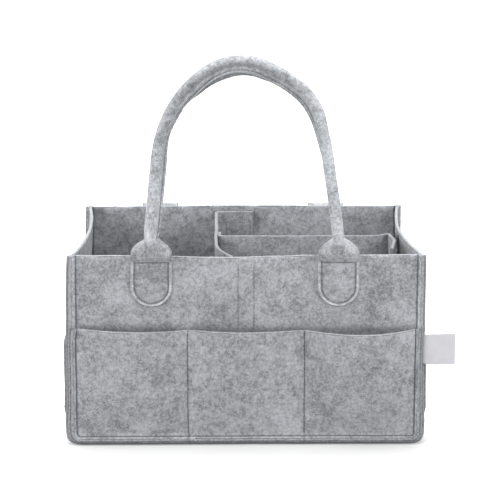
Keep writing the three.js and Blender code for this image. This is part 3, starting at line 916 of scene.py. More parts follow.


# For both felts, crease is the colour of the painted shade.
BODY_FELT = FeltFinish("body felt", "felt_melange", middle=shade(161), light=shade(190), dark=shade(120),
                       edge=shade(166), edge_dark=shade(112), crease=shade(74))
# The body's felt again, a little darker, with paler cut edges and a stronger highlight gain: painted shade
# and painted highlight for how light falls on the grip.
GRIP_FELT = FeltFinish("grip felt", "felt_grip", middle=shade(157), light=shade(190), dark=shade(116),
                       edge=shade(178), edge_dark=shade(136), crease=shade(74), stretch=1.5)
LOOP_TAPE = TapeFinish("loop tape", "tape_loop", shade(175), shade(140), 900.0, False)
HOOK_TAPE = TapeFinish("hook tape", "tape_hook", shade(165), shade(115), 620.0, True)
BODY_THREAD = ThreadFinish("body thread", "felt_melange", shade(135), shade(95))
GRIP_THREAD = ThreadFinish("grip thread", "felt_grip", shade(160), shade(110))
TAG_WEAVE = WovenFinish("tag weave", "tag_weave", shade(226, PALE), shade(196, (0.985, 0.985, 1.01)))


class Workshop:
    """Turns shells into named pieces that ride on the caddy's bodies."""

    TAPE_ROUNDING = 0.4

    def __init__(self, drift: Drift) -> None:
        """Takes the field that moves all felt alike."""
        self.drift = drift
        self._materials: dict[str, Material] = {}

    def material(self, finish: Finish) -> Material:
        """The finish's material, made the first time it is asked for."""
        if finish.name not in self._materials:
            self._materials[finish.name] = finish.build()
        return self._materials[finish.name]

    def piece(self, name: str, shell: Shell, finish: Finish, body: str | None,
              nodes: Sequence[str] = ()) -> bpy.types.Object:
        """Makes one piece.

        Args:
            name: the piece's name.
            shell: its mesh, in millimetres.
            finish: the finish that dresses it.
            body: the body that it rides on, or None for a piece that rides on none.
            nodes: the solids that it stands for.

        Returns:
            The new object.
        """
        mesh = bpy.data.meshes.new(name)
        mesh.from_pydata((self.drift(shell.points) * MM).tolist(), [], shell.faces.tolist())
        mesh.validate()
        mesh.polygons.foreach_set("use_smooth", np.ones(len(mesh.polygons), bool))
        # The cut edges, the painted shade and the painted highlight go onto the mesh as point masks.
        masks = {"cut_edge": shell.cut, "pressed": shell.pressed, "stretched": shell.stretched}
        for label, values in masks.items():
            if values is not None:
                mask = mesh.attributes.new(label, "FLOAT", "POINT")
                mask.data.foreach_set("value", values.astype(np.float32))
        mesh.materials.append(self.material(finish))
        mesh.update()
        piece = bpy.data.objects.new(name, mesh)
        bpy.context.scene.collection.objects.link(piece)
        if body is not None:
            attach(piece, body)
        if nodes:
            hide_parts(*nodes)
        log.info("%s: %d faces", name, len(mesh.polygons))
        return piece

    def tape(self, name: str, grid: Array, outward: Sequence[float], finish: Finish, body: str,
             node: str) -> None:
        """Makes a length of hook or loop tape.

        Args:
            name: the piece's name.
            grid: the places of its middle, rows by columns by 3.
            outward: the way its face looks.
            finish: the finish that dresses it.
            body: the body that it rides on.
            node: the solid that it stands for.
        """
        net = Net(grid).facing(outward)
        shell = thicken(net, SIZES.tape_thickness, rounding=self.TAPE_ROUNDING)
        self.piece(name, shell, finish, body, [node])


def pinched_fold(s: CaddySizes, ply: float, lean: Array, start: Array | float, steps: int = 6,
                 run: int = 4) -> Array:
    """A ply's section from its flat part through a sewn fold to its cut edge.

    Args:
        s: the caddy's sizes.
        ply: the flat part's distance from the seam's plane.
        lean: how far the flange leans out of that plane at each stop.
        start: where the bend begins.
        steps: points in the bend.
        run: points on the flange.

    Returns:
        Stops by points by 2: the steps along the plane and off it.
    """
    way = np.stack([np.cos(lean), np.sin(lean)], -1)
    corner = np.stack([-ply * np.tan(lean / 2), np.full_like(lean, ply)], -1)
    begin = np.stack([np.broadcast_to(start, lean.shape), np.full_like(lean, ply)], -1)
    last = corner + way * s.fold_trim
    tip = way * s.flange + np.stack([-way[:, 1], way[:, 0]], -1) * ply
    begin, corner, last, tip = (part[:, None] for part in (begin, corner, last, tip))
    t, r = (np.linspace(0, 1, count + 1)[1:, None] for count in (steps, run))
    return np.concatenate([bow(begin, corner, last, t), last + (tip - last) * r], 1)


@dataclass
class EndWall:
    """An end panel with its pocket panel: flat felt with a leaning flange on three sides."""

    end: End
    sizes: CaddySizes = field(default_factory=CaddySizes)
    flat_gap: float = 0.8
    pocket_seam: float = 54.0
    gapes: tuple[float, float, float] = (10.5, 10.0, 10.5)
    rim_dip: float = 0.0
    dip_x: float = -18.0
    dip_width: float = 62.0
    lip_root: float = 60.0
    corner_drop: float = 4.2
    tape_stitch: tuple[float, float] = (-7.6, 7.2)
    tape_stitch_foot: float = 8.0

    # How far the pocket panel's upper edge stands above its plain height, across the caddy.
    LIP = ((-150, 2.9), (-54, 1.2), (54, 0.8), (150, 1.6))

    def pan(self, ply: float, xs: Array, zs: Array, lift: Field2, dip: Field2) -> Ply:
        """Builds a panel.

        Args:
            ply: the panel's distance from the seam's plane.
            xs: the columns' places as shares of the half width.
            zs: the rows, from the top down to the bottom.
            lift: how far each place stands off the panel's plane.
            dip: how far each place is lowered.

        Returns:
            The panel's net and masks.
        """
        s = self.sizes
        half, low, radius = self.outline(ply)
        x, z = np.meshgrid(xs * half, zs)
        p = np.clip(1 - (half - np.abs(x)) / radius, 0, 1)
        q = np.clip(1 - (z - low) / radius, 0, 1)
        x = x - np.sign(x) * radius * (p - p * np.sqrt(1 - q ** 2 / 2))
        z = z + radius * (q - q * np.sqrt(1 - p ** 2 / 2))
        net = Net()
        table = net.add(places(x, self.end.value * (s.inside_y + ply + lift(x, z)), z - dip(x, z)))
        net.weave(table)
        ring = self.flange(ply, border(np.stack([x, z], -1)), dip)
        numbers = np.concatenate([border(table)[:, None], net.add(ring)], 1)
        net.weave(numbers[:, ::-1])
        crease, fin = (np.concatenate([np.zeros(table.size), np.tile(mask, len(ring))])
                       for mask in fold_masks(ring.shape[1]))
        return Ply(net.facing((0, self.end.value, 0)), crease, fin)

    def flange(self, ply: float, edge: Array, dip: Field2) -> Array:
        """Bends the flange out of a panel's two sides and bottom.

        Args:
            ply: the panel's distance from the seam's plane.
            edge: x and z on the border of the flat part.
            dip: how far each place is lowered.

        Returns:
            Border stops by stations by 3, from the fold to the cut edge.
        """
        s = self.sizes
        start = self.start_out(ply)
        turn_x = np.clip(np.abs(edge[:, 0]) - (s.inside_x - s.corner_radius), 0, None)
        turn_z = np.clip(s.corner_z - edge[:, 1], 0, None)
        out = unit(np.stack([np.sign(edge[:, 0]) * turn_x, -turn_z], -1))
        share = np.abs(np.arctan2(-out[:, 1], np.abs(out[:, 0]))) / RIGHT_ANGLE
        lean = s.side_lean + (s.base_lean - s.side_lean) * share
        section = pinched_fold(s, ply, lean, start)
        step = section[..., 0] - start
        ring = places(edge[:, :1] + out[:, :1] * step, self.end.value * (s.inside_y + section[..., 1]),
                      edge[:, 1:] + out[:, 1:] * step)
        ring[..., 2] -= dip(ring[..., 0], ring[..., 2])
        return ring

    def start_out(self, ply: float) -> float:
        """Where a panel's flat middle ends, as a step out of the seams' outline."""
        return -ply * math.tan(self.sizes.base_lean / 2) - self.sizes.fold_trim - self.flat_gap

    def outline(self, ply: float) -> tuple[float, float, float]:
        """Half the width, the lower edge and the corner radius of a panel's flat middle."""
        s, start = self.sizes, self.start_out(ply)
        return s.inside_x + start, s.seam_z - start, s.corner_radius + start

    def rows(self, top: float, ply: float, marks: Sequence[float] = ()) -> Array:
        """Places a panel's rows.

        Args:
            top: the height of the upper edge.
            ply: the panel's distance from the seam's plane.
            marks: heights that need fine rows.

        Returns:
            The rows' heights, from the top down to the bottom fold.
        """
        _, low, radius = self.outline(ply)
        corner = low + radius * np.array([2 / 3, 1 / 3, 0])
        upper = spread(low + radius, top, PITCH, [low + radius, top, *marks])
        return np.concatenate([upper[::-1], corner])

    def columns(self, ply: float, marks: Sequence[float] = ()) -> Array:
        """Places a panel's columns.

        Args:
            ply: the panel's distance from the seam's plane.
            marks: places across that need fine columns.

        Returns:
            The columns, as shares of the panel's half width.
        """
        half, _, radius = self.outline(ply)
        inner = spread(-(half - radius), half - radius, PITCH, [-(half - radius), half - radius, *marks])
        corner = half - radius * np.array([0, 1 / 3, 2 / 3])
        return np.concatenate([-corner, inner, corner[::-1]]) / half

    def dip(self, x: Array, z: Array) -> Array:
        """How far the soft rim hangs."""
        hang = self.rim_dip * bell(x - self.dip_x, self.dip_width)
        return hang * ramp(z, self.sizes.pocket_top, self.sizes.rim)

    def lip_shade(self, x: Array, z: Array) -> Array:
        """Painted shadow on the panel behind the pocket's lip, and a little above it."""
        top = self.sizes.pocket_top + self.lip(x)
        return 0.62 * smooth((top + 4.6 - z) / 5.5) * smooth((z - top + 30) / 10)

    def lip(self, x: Array) -> Array:
        """How far the pocket panel's upper edge stands above its plain height."""
        return np.interp(x, *np.array(self.LIP).T)

    def lip_drop(self, x: Array, z: Array) -> Array:
        """The same as a fall, fading out down the panel."""
        return -self.lip(x) * ramp(z, self.lip_root, self.sizes.pocket_top)

    def bulge(self, x: Array, z: Array) -> Array:
        """How far the pocket panel stands off.

        Args:
            x: places across.
            z: heights.

        Returns:
            The steps outward, highest in the middle of each pocket's mouth.
        """
        s = self.sizes
        edge = s.inside_x - s.second_ply * math.tan(s.side_lean / 2)
        bounds = (-edge, -self.pocket_seam, self.pocket_seam, edge)
        up = np.clip((z - s.corner_z) / (s.pocket_top - s.corner_z), 0, 1)
        total = np.zeros_like(x)
        for gape, left, right in zip(self.gapes, bounds, bounds[1:]):
            total += gape * np.sin(math.pi * np.clip((x - left) / (right - left), 0, 1))
        return total * np.sin(RIGHT_ANGLE * up ** 0.9)

    def tape_stitch_distance(self, x: Array, z: Array) -> Array:
        """Measures from the stitched rectangle that holds the loop tape.

        Args:
            x: places across.
            z: heights.

        Returns:
            The distances, inside and outside alike.
        """
        (left, right), (top, bottom) = self.tape_stitch, self.sizes.tape_rows
        away_x = np.abs(x - (left + right) / 2) - (right - left) / 2
        away_z = np.abs(z - (top + bottom) / 2) - (top - bottom) / 2
        outside = np.hypot(np.clip(away_x, 0, None), np.clip(away_z, 0, None))
        return np.abs(np.minimum(np.maximum(away_x, away_z), 0) + outside)

    def build(self, shop: Workshop) -> None:
        """Makes the panel, its pocket panel and their thread."""
        self.panel(shop)
        self.pockets(shop)
        self.sew(shop)

    def panel(self, shop: Workshop) -> None:
        """Makes the panel.

        Args:
            shop: makes the pieces.
        """
        s = self.sizes
        ply = self.pan(s.first_ply, self.columns(s.first_ply, self.tape_stitch),
                       self.rows(s.rim, s.first_ply, s.tape_rows[:1]), flat, self.dip)
        x, _, z = ply.net.points.T
        away = self.tape_stitch_distance(x, z)
        edge = edge_highlight(z, s.rim - self.dip(x, z))
        bare = ramp(z, s.pocket_top + 2, s.pocket_top + 6)
        # Painted shade beside the tape's stitches, waving in strength, in the fold, on the flange near the
        # floor and behind the pocket's lip.
        painted_tone = 0.3 + 0.12 * np.sin(z / 3.1 + x) + 0.1 * np.sin(z / 7.7)
        pressed = np.maximum.reduce([ply.crease, painted_tone * bell(away, STITCH_SHADE),
                                     0.55 * ply.fin * ramp(z, 7, 3), self.lip_shade(x, z) * (1 - ply.fin)])
        # Painted highlight along the rim and on the flange faces, more above the pockets; painted shade where
        # cut edges meet other plies.
        shell = thicken(ply.net, s.felt, groove(away, 0.4) - FOLD_SINK * ply.crease, 1.2, pressed,
                        np.maximum(edge, (0.3 + 0.5 * bare) * ply.fin),
                        (0.9 * (1 - edge) * (1 - bare), 0.5 * (1 - edge)))
        panel = shop.piece(f"{self.end.word}_wall", shell, BODY_FELT, "caddy", [f"{self.end.word}_panel"])

    def pockets(self, shop: Workshop) -> None:
        """Makes the pocket panel.

        Args:
            shop: makes the pieces.
        """
        s = self.sizes
        ply = self.pan(s.second_ply, self.columns(s.second_ply, [-self.pocket_seam, self.pocket_seam]),
                       self.rows(s.pocket_top, s.second_ply), self.bulge, self.lip_drop)
        x, _, z = ply.net.points.T
        seam = np.abs(np.abs(x) - self.pocket_seam)
        pucker = np.sin(z / 2.9 + 0.02 * x) + 0.8 * np.sin(z / 5.3 + x)
        relief = groove(seam, 0.95) + (0.25 + 0.2 * pucker) * bell(seam - 3.2, 1.9) - FOLD_SINK * ply.crease
        # Painted shade in the fold and along the pocket seams, puckered; painted highlight along the lip and
        # on the flange, more near the floor; painted shade where cut edges meet the panel.
        pressed = np.maximum(ply.crease, (0.52 + 0.14 * pucker) * bell(seam, STITCH_SHADE))
        edge = edge_highlight(z, s.pocket_top + self.lip(x))
        stretched = np.maximum(0.7 * edge, (0.45 + 0.4 * ramp(z, 7, 3)) * ply.fin)
        shell = thicken(ply.net, s.felt, relief, 1.3, pressed, stretched, (0 * edge, 0.9 * (1 - edge)))
        x, _, z = shell.points.T
        shell.points[:, 2] -= (self.corner_drop * ramp(np.abs(x), s.inside_x - 1, s.inside_x + 5)
                               * ramp(z, s.pocket_top - 14, s.pocket_top))
        pockets = shop.piece(f"{self.end.word}_pockets", shell, BODY_FELT, "caddy",
                             [f"{self.end.word}_pocket_panel"])

    def seam_path(self, ply: float, high: float) -> tuple[Array, Array]:
        """The crease where the flange starts, from one side's height down, round and up again.

        Args:
            ply: the outer ply's distance from the seam's plane.
            high: the height where the row starts and ends.

        Returns:
            Places on the outer face and its normals.
        """
        s = self.sizes
        reach = s.inside_x - s.corner_radius
        stops = s.seam_stops(np.linspace(high, s.corner_z, 40), np.linspace(0, RIGHT_ANGLE, 9),
                             np.linspace(-reach, 0, 40))
        x, z, out_x, out_z, lean = stops.T
        face = ply + s.felt / 2
        step = -face * np.tan(lean / 2) - Thread.CORNER
        y = self.end.value * (s.inside_y + face + Thread.STAND_OFF)
        inward, outward = -np.sin(lean / 2), self.end.value * np.cos(lean / 2)
        return places(x + out_x * step, y, z + out_z * step), places(out_x * inward, outward, out_z * inward)

    def sew(self, shop: Workshop) -> None:
        """Makes the seams' thread.

        Args:
            shop: makes the pieces.
        """
        s = self.sizes
        end = self.end.value
        thread = Thread()
        thread.row(*self.seam_path(s.second_ply, s.pocket_top - thread.SHORT))
        for side in (-1, 1):
            x = side * (s.inside_x - s.stack * math.tan(s.side_lean / 2) - thread.CORNER)
            y = end * (s.inside_y + s.stack + thread.STAND_OFF)
            thread.row(places(x, y, np.linspace(s.rim - thread.SHORT, s.pocket_top + 2.0, 60)),
                       (-side * math.sin(s.side_lean / 2), end * math.cos(s.side_lean / 2), 0))
            z = np.linspace(s.pocket_top - 1.2, s.seam_z + 4.5, 60)
            x = np.full_like(z, side * self.pocket_seam)
            face = s.second_ply + s.felt / 2 - 0.62 + self.bulge(x, z)
            thread.row(places(x, end * (s.inside_y + face), z), (0, end, 0))
        y = end * (s.inside_y + s.stack - 0.45)
        (left, right), foot, top = self.tape_stitch, s.pocket_top - self.tape_stitch_foot, s.tape_rows[0]
        thread.outline(((left, foot), (left, top), (right, top), (right, foot)),
                       lambda x, z: places(x, y, z - self.dip(x, z)), (0, end, 0))
        shop.piece(f"{self.end.word}_wall_thread", thread.shell(), BODY_THREAD, "caddy")


@dataclass
class Wrap:
    """The strip that makes both sides and the base, with the side pockets sewn on it."""

    sizes: CaddySizes = field(default_factory=CaddySizes)
    flat_gap: float = 0.4
    pocket_top: float = 113.0
    pocket_bottom: float = 24.0
    pocket_gape: float = 6.0
    hem: float = 3.0
    tape_stitch: float = 7.4

    def stops(self, low: float, high: float, base: bool) -> dict[str, Array]:
        """Stops along the strip: down the left, along the base and up the right.

        Args:
            low: the lowest stop on a side.
            high: the highest stop on a side.
            base: whether the corners and the base are part of it.

        Returns:
            Places, ways out and leans, by name.
        """
        s = self.sizes
        reach = s.inside_x - s.corner_radius
        turns = np.linspace(0, RIGHT_ANGLE, 9)[1:-1] if base else ()
        x = spread(-reach, 0, 5.0, [-reach], fine=1.5) if base else ()
        table = s.seam_stops(spread(low, high, PITCH, [low, high])[::-1], turns, x)
        return dict(zip(("x", "z", "ox", "oz", "lean"), table.T))

    def push(self, stop: dict[str, Array], share: Array) -> Array:
        """How far the strip leaves its flat plane.

        Args:
            stop: the stops, each value a column.
            share: places across the strip, from -1 to 1.

        Returns:
            Steps out of the outline.
        """
        s = self.sizes
        bow = np.where(stop["ox"] < 0, s.left_bow, s.right_bow)
        rise = np.clip(stop["z"] - s.corner_z, 0, None) / (s.rim - s.corner_z)
        inward = bow * np.abs(stop["ox"]) * rise ** 1.6 * (1 - share ** 2)
        down = s.base_sag * -stop["oz"] * smooth((1 - np.abs(share)) * s.inside_y / s.sag_ramp)
        return down - inward

    def ply_net(self, stops: dict[str, Array], ply: float, extra: Field2, outward: Sequence[float]) -> Ply:
        """Builds the strip or a pocket on it.

        Args:
            stops: the rows.
            ply: distance from the seam's plane.
            extra: a further step out, from the height and the place across.
            outward: the way that the first quad faces.

        Returns:
            Its net and masks.
        """
        s = self.sizes
        stop = {label: row[:, None] for label, row in stops.items()}
        lean = RIGHT_ANGLE - stops["lean"]
        start = -ply * np.tan(lean / 2) - s.fold_trim - self.flat_gap
        flange = pinched_fold(s, ply, lean, start)[..., ::-1]
        share = spread(-1, 1, PITCH / s.inside_y, [-1, 1], fine=1.0 / s.inside_y,
                       reach=4.0 / s.inside_y)[None, :]
        middle = ply + self.push(stop, share) + extra(stop["z"], share)
        out = np.concatenate([flange[:, ::-1, 0], middle, flange[..., 0]], 1)
        y = np.concatenate([-(s.inside_y + flange[:, ::-1, 1]), share * (s.inside_y + start[:, None]),
                            s.inside_y + flange[..., 1]], 1)
        crease, fin = (np.tile(np.concatenate([mask[::-1], np.zeros(share.size), mask]), len(lean))
                       for mask in fold_masks(flange.shape[1]))
        net = Net(places(stop["x"] + stop["ox"] * out, y, stop["z"] + stop["oz"] * out))
        return Ply(net.facing(outward), crease, fin)

    def gape(self, z: Array, share: Array) -> Array:
        """How far a side pocket stands off the side."""
        up = np.clip((z - self.pocket_bottom) / (self.pocket_top - self.pocket_bottom), 0, 1)
        return self.pocket_gape * (1 - share ** 2) * np.sin(RIGHT_ANGLE * up)

    def build(self, shop: Workshop) -> None:
        """Makes the strip, the side pockets and their thread.

        Args:
            shop: makes the pieces.
        """
        self.strip(shop)
        thread = Thread()
        for side in Side:
            self.pocket(shop, side)
            self.sew(thread, side)
        shop.piece("side_thread", thread.shell(), BODY_THREAD, "caddy")

    def strip(self, shop: Workshop) -> None:
        """Makes the strip.

        Args:
            shop: makes the pieces.
        """
        s = self.sizes
        ply = self.ply_net(self.stops(s.corner_z, s.rim, True), s.first_ply, flat, (-1, 0, 0))
        z = ply.net.points[:, 2]
        edge = edge_highlight(z, s.rim)
        # Painted shade in the fold and on the flange near the floor, painted highlight along the rim, painted
        # shade where cut edges meet other plies.
        shell = thicken(ply.net, s.felt, -FOLD_SINK * ply.crease, 1.2,
                        np.maximum(ply.crease, 0.6 * ply.fin * ramp(z, 7, 3)), edge,
                        (0.3 * (1 - edge), 0.3 * (1 - edge)))
        wrap = shop.piece("base_and_sides", shell, BODY_FELT, "caddy", ["wrap_panel"])

    def pocket(self, shop: Workshop, side: Side) -> None:
        """Makes one side pocket.

        Args:
            shop: makes the pieces.
            side: the pocket's side.
        """
        s = self.sizes
        stops = self.stops(self.pocket_bottom, self.pocket_top, False)
        here = stops["ox"] == side.value
        stops = {label: row[here] for label, row in stops.items()}
        ply = self.ply_net(stops, s.second_ply, self.gape, (side.value, 0, 0))
        z = ply.net.points[:, 2]
        hem = np.abs(z - self.pocket_bottom - self.hem)
        relief = groove(hem, 0.6) + groove(z - self.pocket_bottom, 1.3, 4.0) - FOLD_SINK * ply.crease
        edge = edge_highlight(z, self.pocket_top)
        # Painted shade in the fold and along the hem's stitches, painted highlight along the lip, painted
        # shade where cut edges meet the side behind.
        shell = thicken(ply.net, s.felt, relief, 1.2, np.maximum(ply.crease, 0.6 * bell(hem, STITCH_SHADE)),
                        0.6 * edge, (0 * edge, 0.45 * (1 - edge)))
        self.round_ends(shell.points, side)
        pocket = shop.piece(f"{side.word}_pocket", shell, BODY_FELT, "caddy", [f"{side.word}_side_pocket"])

    def round_ends(self, points: Array, side: Side) -> None:
        """Rounds a side pocket's corners into the seams.

        Args:
            points: the pocket's places, which are changed.
            side: the pocket's side.
        """
        s = self.sizes
        x, y, z = points.T
        top, bottom = self.pocket_top, self.pocket_bottom
        fin = smooth((side.value * x - s.inside_x + np.abs(y) - s.inside_y - 3.2) / 5.5)
        fall = 3.0 * fin * ramp(z, top - 14, top)
        cut_back = fin * (2.4 * ramp(z, top - 17, top) + 1.6 * ramp(z, bottom + 12, bottom))
        points -= places(side.value * cut_back, np.sign(y) * cut_back, fall)

    def beside(self, side: Side, y: Array, z: Array, ply: float, step: float, extra: Field2 = flat) -> Array:
        """Places beside a side's felt.

        Args:
            side: which side.
            y: places along the side.
            z: heights.
            ply: the felt's distance from the seam's plane.
            step: how far outside the felt's middle.
            extra: a further step out, from the height and the place across.

        Returns:
            The places, with x, y, z as the last axis.
        """
        s = self.sizes
        half = s.inside_y - ply * math.tan(s.side_slant) - s.fold_trim
        share = np.clip(y / half, -1, 1)
        out = ply + step + extra(z, share)
        out = out + self.push(dict(z=z, ox=np.full_like(z, side.value), oz=0 * z), share)
        return places(side.value * (s.inside_x + out), y, z)

    def sew(self, thread: Thread, side: Side) -> None:
        """Sews one side: seam creases, the pocket's hem and the tape behind the right side.

        Args:
            thread: takes the stitches.
            side: the side that is sewn.
        """
        s = self.sizes
        away = (side.value, 0, 0)
        runs = ((s.first_ply, self.pocket_top + 2, s.rim - thread.SHORT),
                (s.second_ply, self.pocket_bottom + 1, self.pocket_top - thread.SHORT),
                (s.first_ply, s.corner_z, self.pocket_bottom - 2))
        for end in End:
            normal = (side.value * math.cos(s.side_slant), -end.value * math.sin(s.side_slant), 0)
            for ply, low, high in runs:
                face = ply + s.felt / 2
                y = end.value * (s.inside_y - face * math.tan(s.side_slant) - thread.CORNER)
                x = side.value * (s.inside_x + face + thread.STAND_OFF)
                thread.row(places(x, y, np.linspace(high, low, 50)), normal)
        y = np.linspace(-s.inside_y + 5, s.inside_y - 5, 80)
        z = np.full_like(y, self.pocket_bottom + self.hem)
        thread.row(self.beside(side, y, z, s.second_ply, s.felt / 2 - 0.5, self.gape), away)
        if side is Side.RIGHT:
            reach, low, top = self.tape_stitch, self.pocket_top + 1, s.tape_rows[0]
            thread.outline(((-reach, low), (-reach, top), (reach, top), (reach, low)),
                           lambda y, z: self.beside(side, y, z, s.first_ply, s.felt / 2), away, 30)


def through(knots: Array, steps: int = 60) -> Array:
    """A smooth curve through knots, paced by the roots of their distances.

    Args:
        knots: N by 3 places.
        steps: places between two knots.

    Returns:
        The curve's places.
    """
    padded = np.concatenate([[2 * knots[0] - knots[1]], knots, [2 * knots[-1] - knots[-2]]])
    line = []
    for k in range(1, len(padded) - 2):
        p0, p1, p2, p3 = padded[k - 1:k + 3]
        d = [max(np.linalg.norm(b - a), 1e-9) ** 0.5 for a, b in ((p0, p1), (p1, p2), (p2, p3))]
        m1 = d[1] * ((p1 - p0) / d[0] - (p2 - p0) / (d[0] + d[1]) + (p2 - p1) / d[1])
        m2 = d[1] * ((p2 - p1) / d[1] - (p3 - p1) / (d[1] + d[2]) + (p3 - p2) / d[2])
        for t in np.linspace(0, 1, steps, endpoint=False):
            line.append((2 * t ** 3 - 3 * t ** 2 + 1) * p1 + (t ** 3 - 2 * t ** 2 + t) * m1
                        + (3 * t ** 2 - 2 * t ** 3) * p2 + (t ** 3 - t ** 2) * m2)
    return np.array([*line, knots[-1]])


@dataclass
class Grip:
    """A felt strap: flat sewn paddles, and between them a strip rolled into a tube with a fin."""

    end: End
    lowered: float = 0.0
    sizes: CaddySizes = field(default_factory=CaddySizes)
    strip: float = 37.5
    fin: float = 5.2
    front_radius: float = 3.9
    neck_radius: float = 6.0
    crest: float = 4.85
    spread_x: float = 172.6
    rise: float = 176.0
    off_centre: float = -1.4
    drop: float = 48.7
    shoulder: float = 16.0
    shoulder_start: float = 1.0
    foot: float = 21.0
    set_back: float = 1.0
    above_rim: float = 0.8
    uneven: float = 0.9
    hang: float = 2.0
    lip: float = 4.2
    stitch_inset: float = 3.3
    stitch_top_drop: float = 6.6
    stitch_sink: float = 0.68
    fin_row: float = 0.6
    fin_row_end: float = 16.0
    peel: float = 7.5
    fold_below: float = 0.3
    fold_above: float = 4.5
    lowered_before: float = 1.75
    lowered_after: float = 0.8
    crown_share: float = 0.43

    # Half spans and rises of the arch's knots, from the left foot to the right.
    SHARES = ((-1, 0), (-1.006, 0.09), (-0.986, 0.2), (-0.94, 0.44), (-0.874, 0.63), (-0.737, 0.78),
              (-0.528, 0.9), (-0.32, 0.971), (-0.1, 1.003), (0.12, 0.993), (0.309, 0.954),
              (0.542, 0.885), (0.667, 0.827), (0.765, 0.75), (0.815, 0.65), (0.855, 0.56),
              (0.918, 0.35), (0.978, 0.13), (1, 0))
    # Shares along the arch and the fin's turn there in degrees.
    FIN_TURNS = ((0, 0), (0.012, 0), (0.06, 42), (0.18, 42), (0.26, 26), (0.325, 38), (0.39, 66),
                 (0.46, 80), (0.54, 70), (0.6, 50), (0.675, 38), (0.745, 18), (0.82, 7), (0.94, 5),
                 (0.99, 0), (1, 0))
    # Steps over the upper tube from its front to its back, and the painted highlight and painted shade that
    # round the tube there.
    TURN_TONES = ((-9, 0.9, 0), (-4, 0.85, 0), (-1, 0.7, 0), (1.5, 0.6, 0), (3.5, 0.4, 0), (4.8, 0.15, 0.03),
                  (6.2, 0, 0.2), (8, 0, 0.25), (9.2, 0.3, 0.1), (10.6, 0.85, 0), (12.4, 0.85, 0),
                  (13.4, 0.5, 0))
    LOWERED_WAY = unit(np.array([0.0, -1.0, 0.12]))

    def __post_init__(self) -> None:
        """Works out the section's flank, the fold and the centre line."""
        s = self.sizes
        self.half = self.strip / 2
        self.arc = self.half - self.fin
        radii = self.front_radius + self.neck_radius
        straight = self.arc - self.front_radius * RIGHT_ANGLE
        low, high = 0.0, straight / radii
        for _ in range(40):
            slope = (low + high) / 2
            narrowing = radii * (1 - math.cos(slope)) + (straight - radii * slope) * math.sin(slope)
            low, high = (slope, high) if narrowing < self.front_radius - s.first_ply else (low, slope)
        self.slope = low
        self.front_arc = self.front_radius * (RIGHT_ANGLE + low)
        self.neck_arc = self.neck_radius * low
        self.paddle_y = s.inside_y + s.first_ply + s.felt / 2 + s.clearance
        self.hinge_y = self.paddle_y + s.felt / 2 + s.felt + s.clearance
        self.hinge_z = s.rim + self.above_rim
        self.pivot = np.array([0.0, -self.hinge_y, self.hinge_z])
        self.paddle_low = s.rim - self.drop
        self.stitch_radius = self.half - self.stitch_inset
        self.stitch_top = s.rim - self.stitch_top_drop
        self.stitch_middle = self.paddle_low + self.half
        self.line = through(np.array([(x * self.spread_x / 2, 0.0, z * self.rise) for x, z in self.SHARES]))
        self.run = travel(self.line)

    def heading(self, s: Array) -> Array:
        """The closed section's heading at a distance from its front."""
        back = np.clip((s - self.arc + self.neck_arc) / self.neck_arc, 0, 1)
        return np.where(s < self.front_arc, s / self.front_radius, RIGHT_ANGLE + self.slope * (1 - back))

    def crown(self, share: Array) -> Array:
        """How near a place along the arch is to the part left of its top, 0 to 1."""
        return bell(share - self.crown_share, 0.11)

    def uneven_at(self, share: Array) -> Array:
        """How far the strip's middle lies beside the tube's front, which leaves one fin ply longer."""
        return self.uneven + self.hang * self.crown(share)

    def rolled(self, s: Array, roll: Array, share: Array) -> tuple[Array, Array]:
        """A point of the strip's cross-section for a roll from 0, flat, to 1, closed.

        Args:
            s: places across the strip.
            roll: how far the strip is rolled at each.
            share: places along the arch, 0 to 1.

        Returns:
            The steps along the strip's face and out of it.
        """
        s = s - self.uneven_at(share) * roll
        slices = 60
        part = (np.arange(slices) + 0.5) / slices
        heading = roll[..., None] * self.heading(np.abs(s)[..., None] * part)
        a = np.cos(heading).mean(-1) * s
        b = self.crest * roll - np.sin(heading).mean(-1) * np.abs(s)
        free = smooth((np.abs(s) - self.arc - 0.9) / (self.fin - 1.4)) * roll
        lip = self.lip * np.maximum(self.crown(share), 0.5 * bell(share - 0.66, 0.1))
        return a + np.where(s > 0, lip, -0.25 * lip) * free, b

    def arch_point(self, distance: Array, s: Array) -> Array:
        """Places on the rolled strip's middle surface, in the row frame, facing the front.

        Args:
            distance: along the arch from the left fold.
            s: across the strip.

        Returns:
            The places, with the broadcast shape of both and x, y, z last.
        """
        distance, s = np.broadcast_arrays(distance, s)
        total = self.run[-1]
        near = np.minimum(distance, total - distance)
        roll = smooth((near - self.shoulder_start) / self.shoulder) ** 0.72
        twist = np.radians(self.fin_turn(distance / total))
        centre = sample(self.line, self.run, distance)
        centre[..., 1] = self.set_back * smooth(near / self.foot)
        ahead, behind = (sample(self.line, self.run, distance + step) for step in (0.5, -0.5))
        tangent = unit(ahead - behind)
        upright = np.where(distance < total / 2, 1.0, -1.0)[..., None] * UP
        share = smooth(near / self.foot)[..., None]
        along = unit(upright * (1 - share) + tangent * share)
        outward = np.cross(np.broadcast_to(FORWARD, along.shape), along)
        cos, sin = np.cos(twist)[..., None], np.sin(twist)[..., None]
        normal = FORWARD * cos + outward * sin
        across = -outward * cos + FORWARD * sin
        a, b = self.rolled(s, roll, distance / total)
        return centre + across * a[..., None] + normal * b[..., None] + self.pivot

    def fin_turn(self, share: Array) -> Array:
        """Turns the fin along the arch.

        Args:
            share: places along the arch, 0 to 1.

        Returns:
            How far the fin turns from straight back towards the arch's inside, in degrees.
        """
        at = np.array(self.FIN_TURNS, float)
        k = np.clip(np.searchsorted(at[:, 0], share) - 1, 0, len(at) - 2)
        t = smooth((share - at[k, 0]) / (at[k + 1, 0] - at[k, 0]))
        return at[k, 1] + (at[k + 1, 1] - at[k, 1]) * t

    def peeled(self, z: Array | float) -> Array | float:
        """How far a paddle leaves the panel at a height, on its way to the fold."""
        return (self.hinge_y - self.paddle_y) * smooth((z - (self.hinge_z - self.peel)) / self.peel)

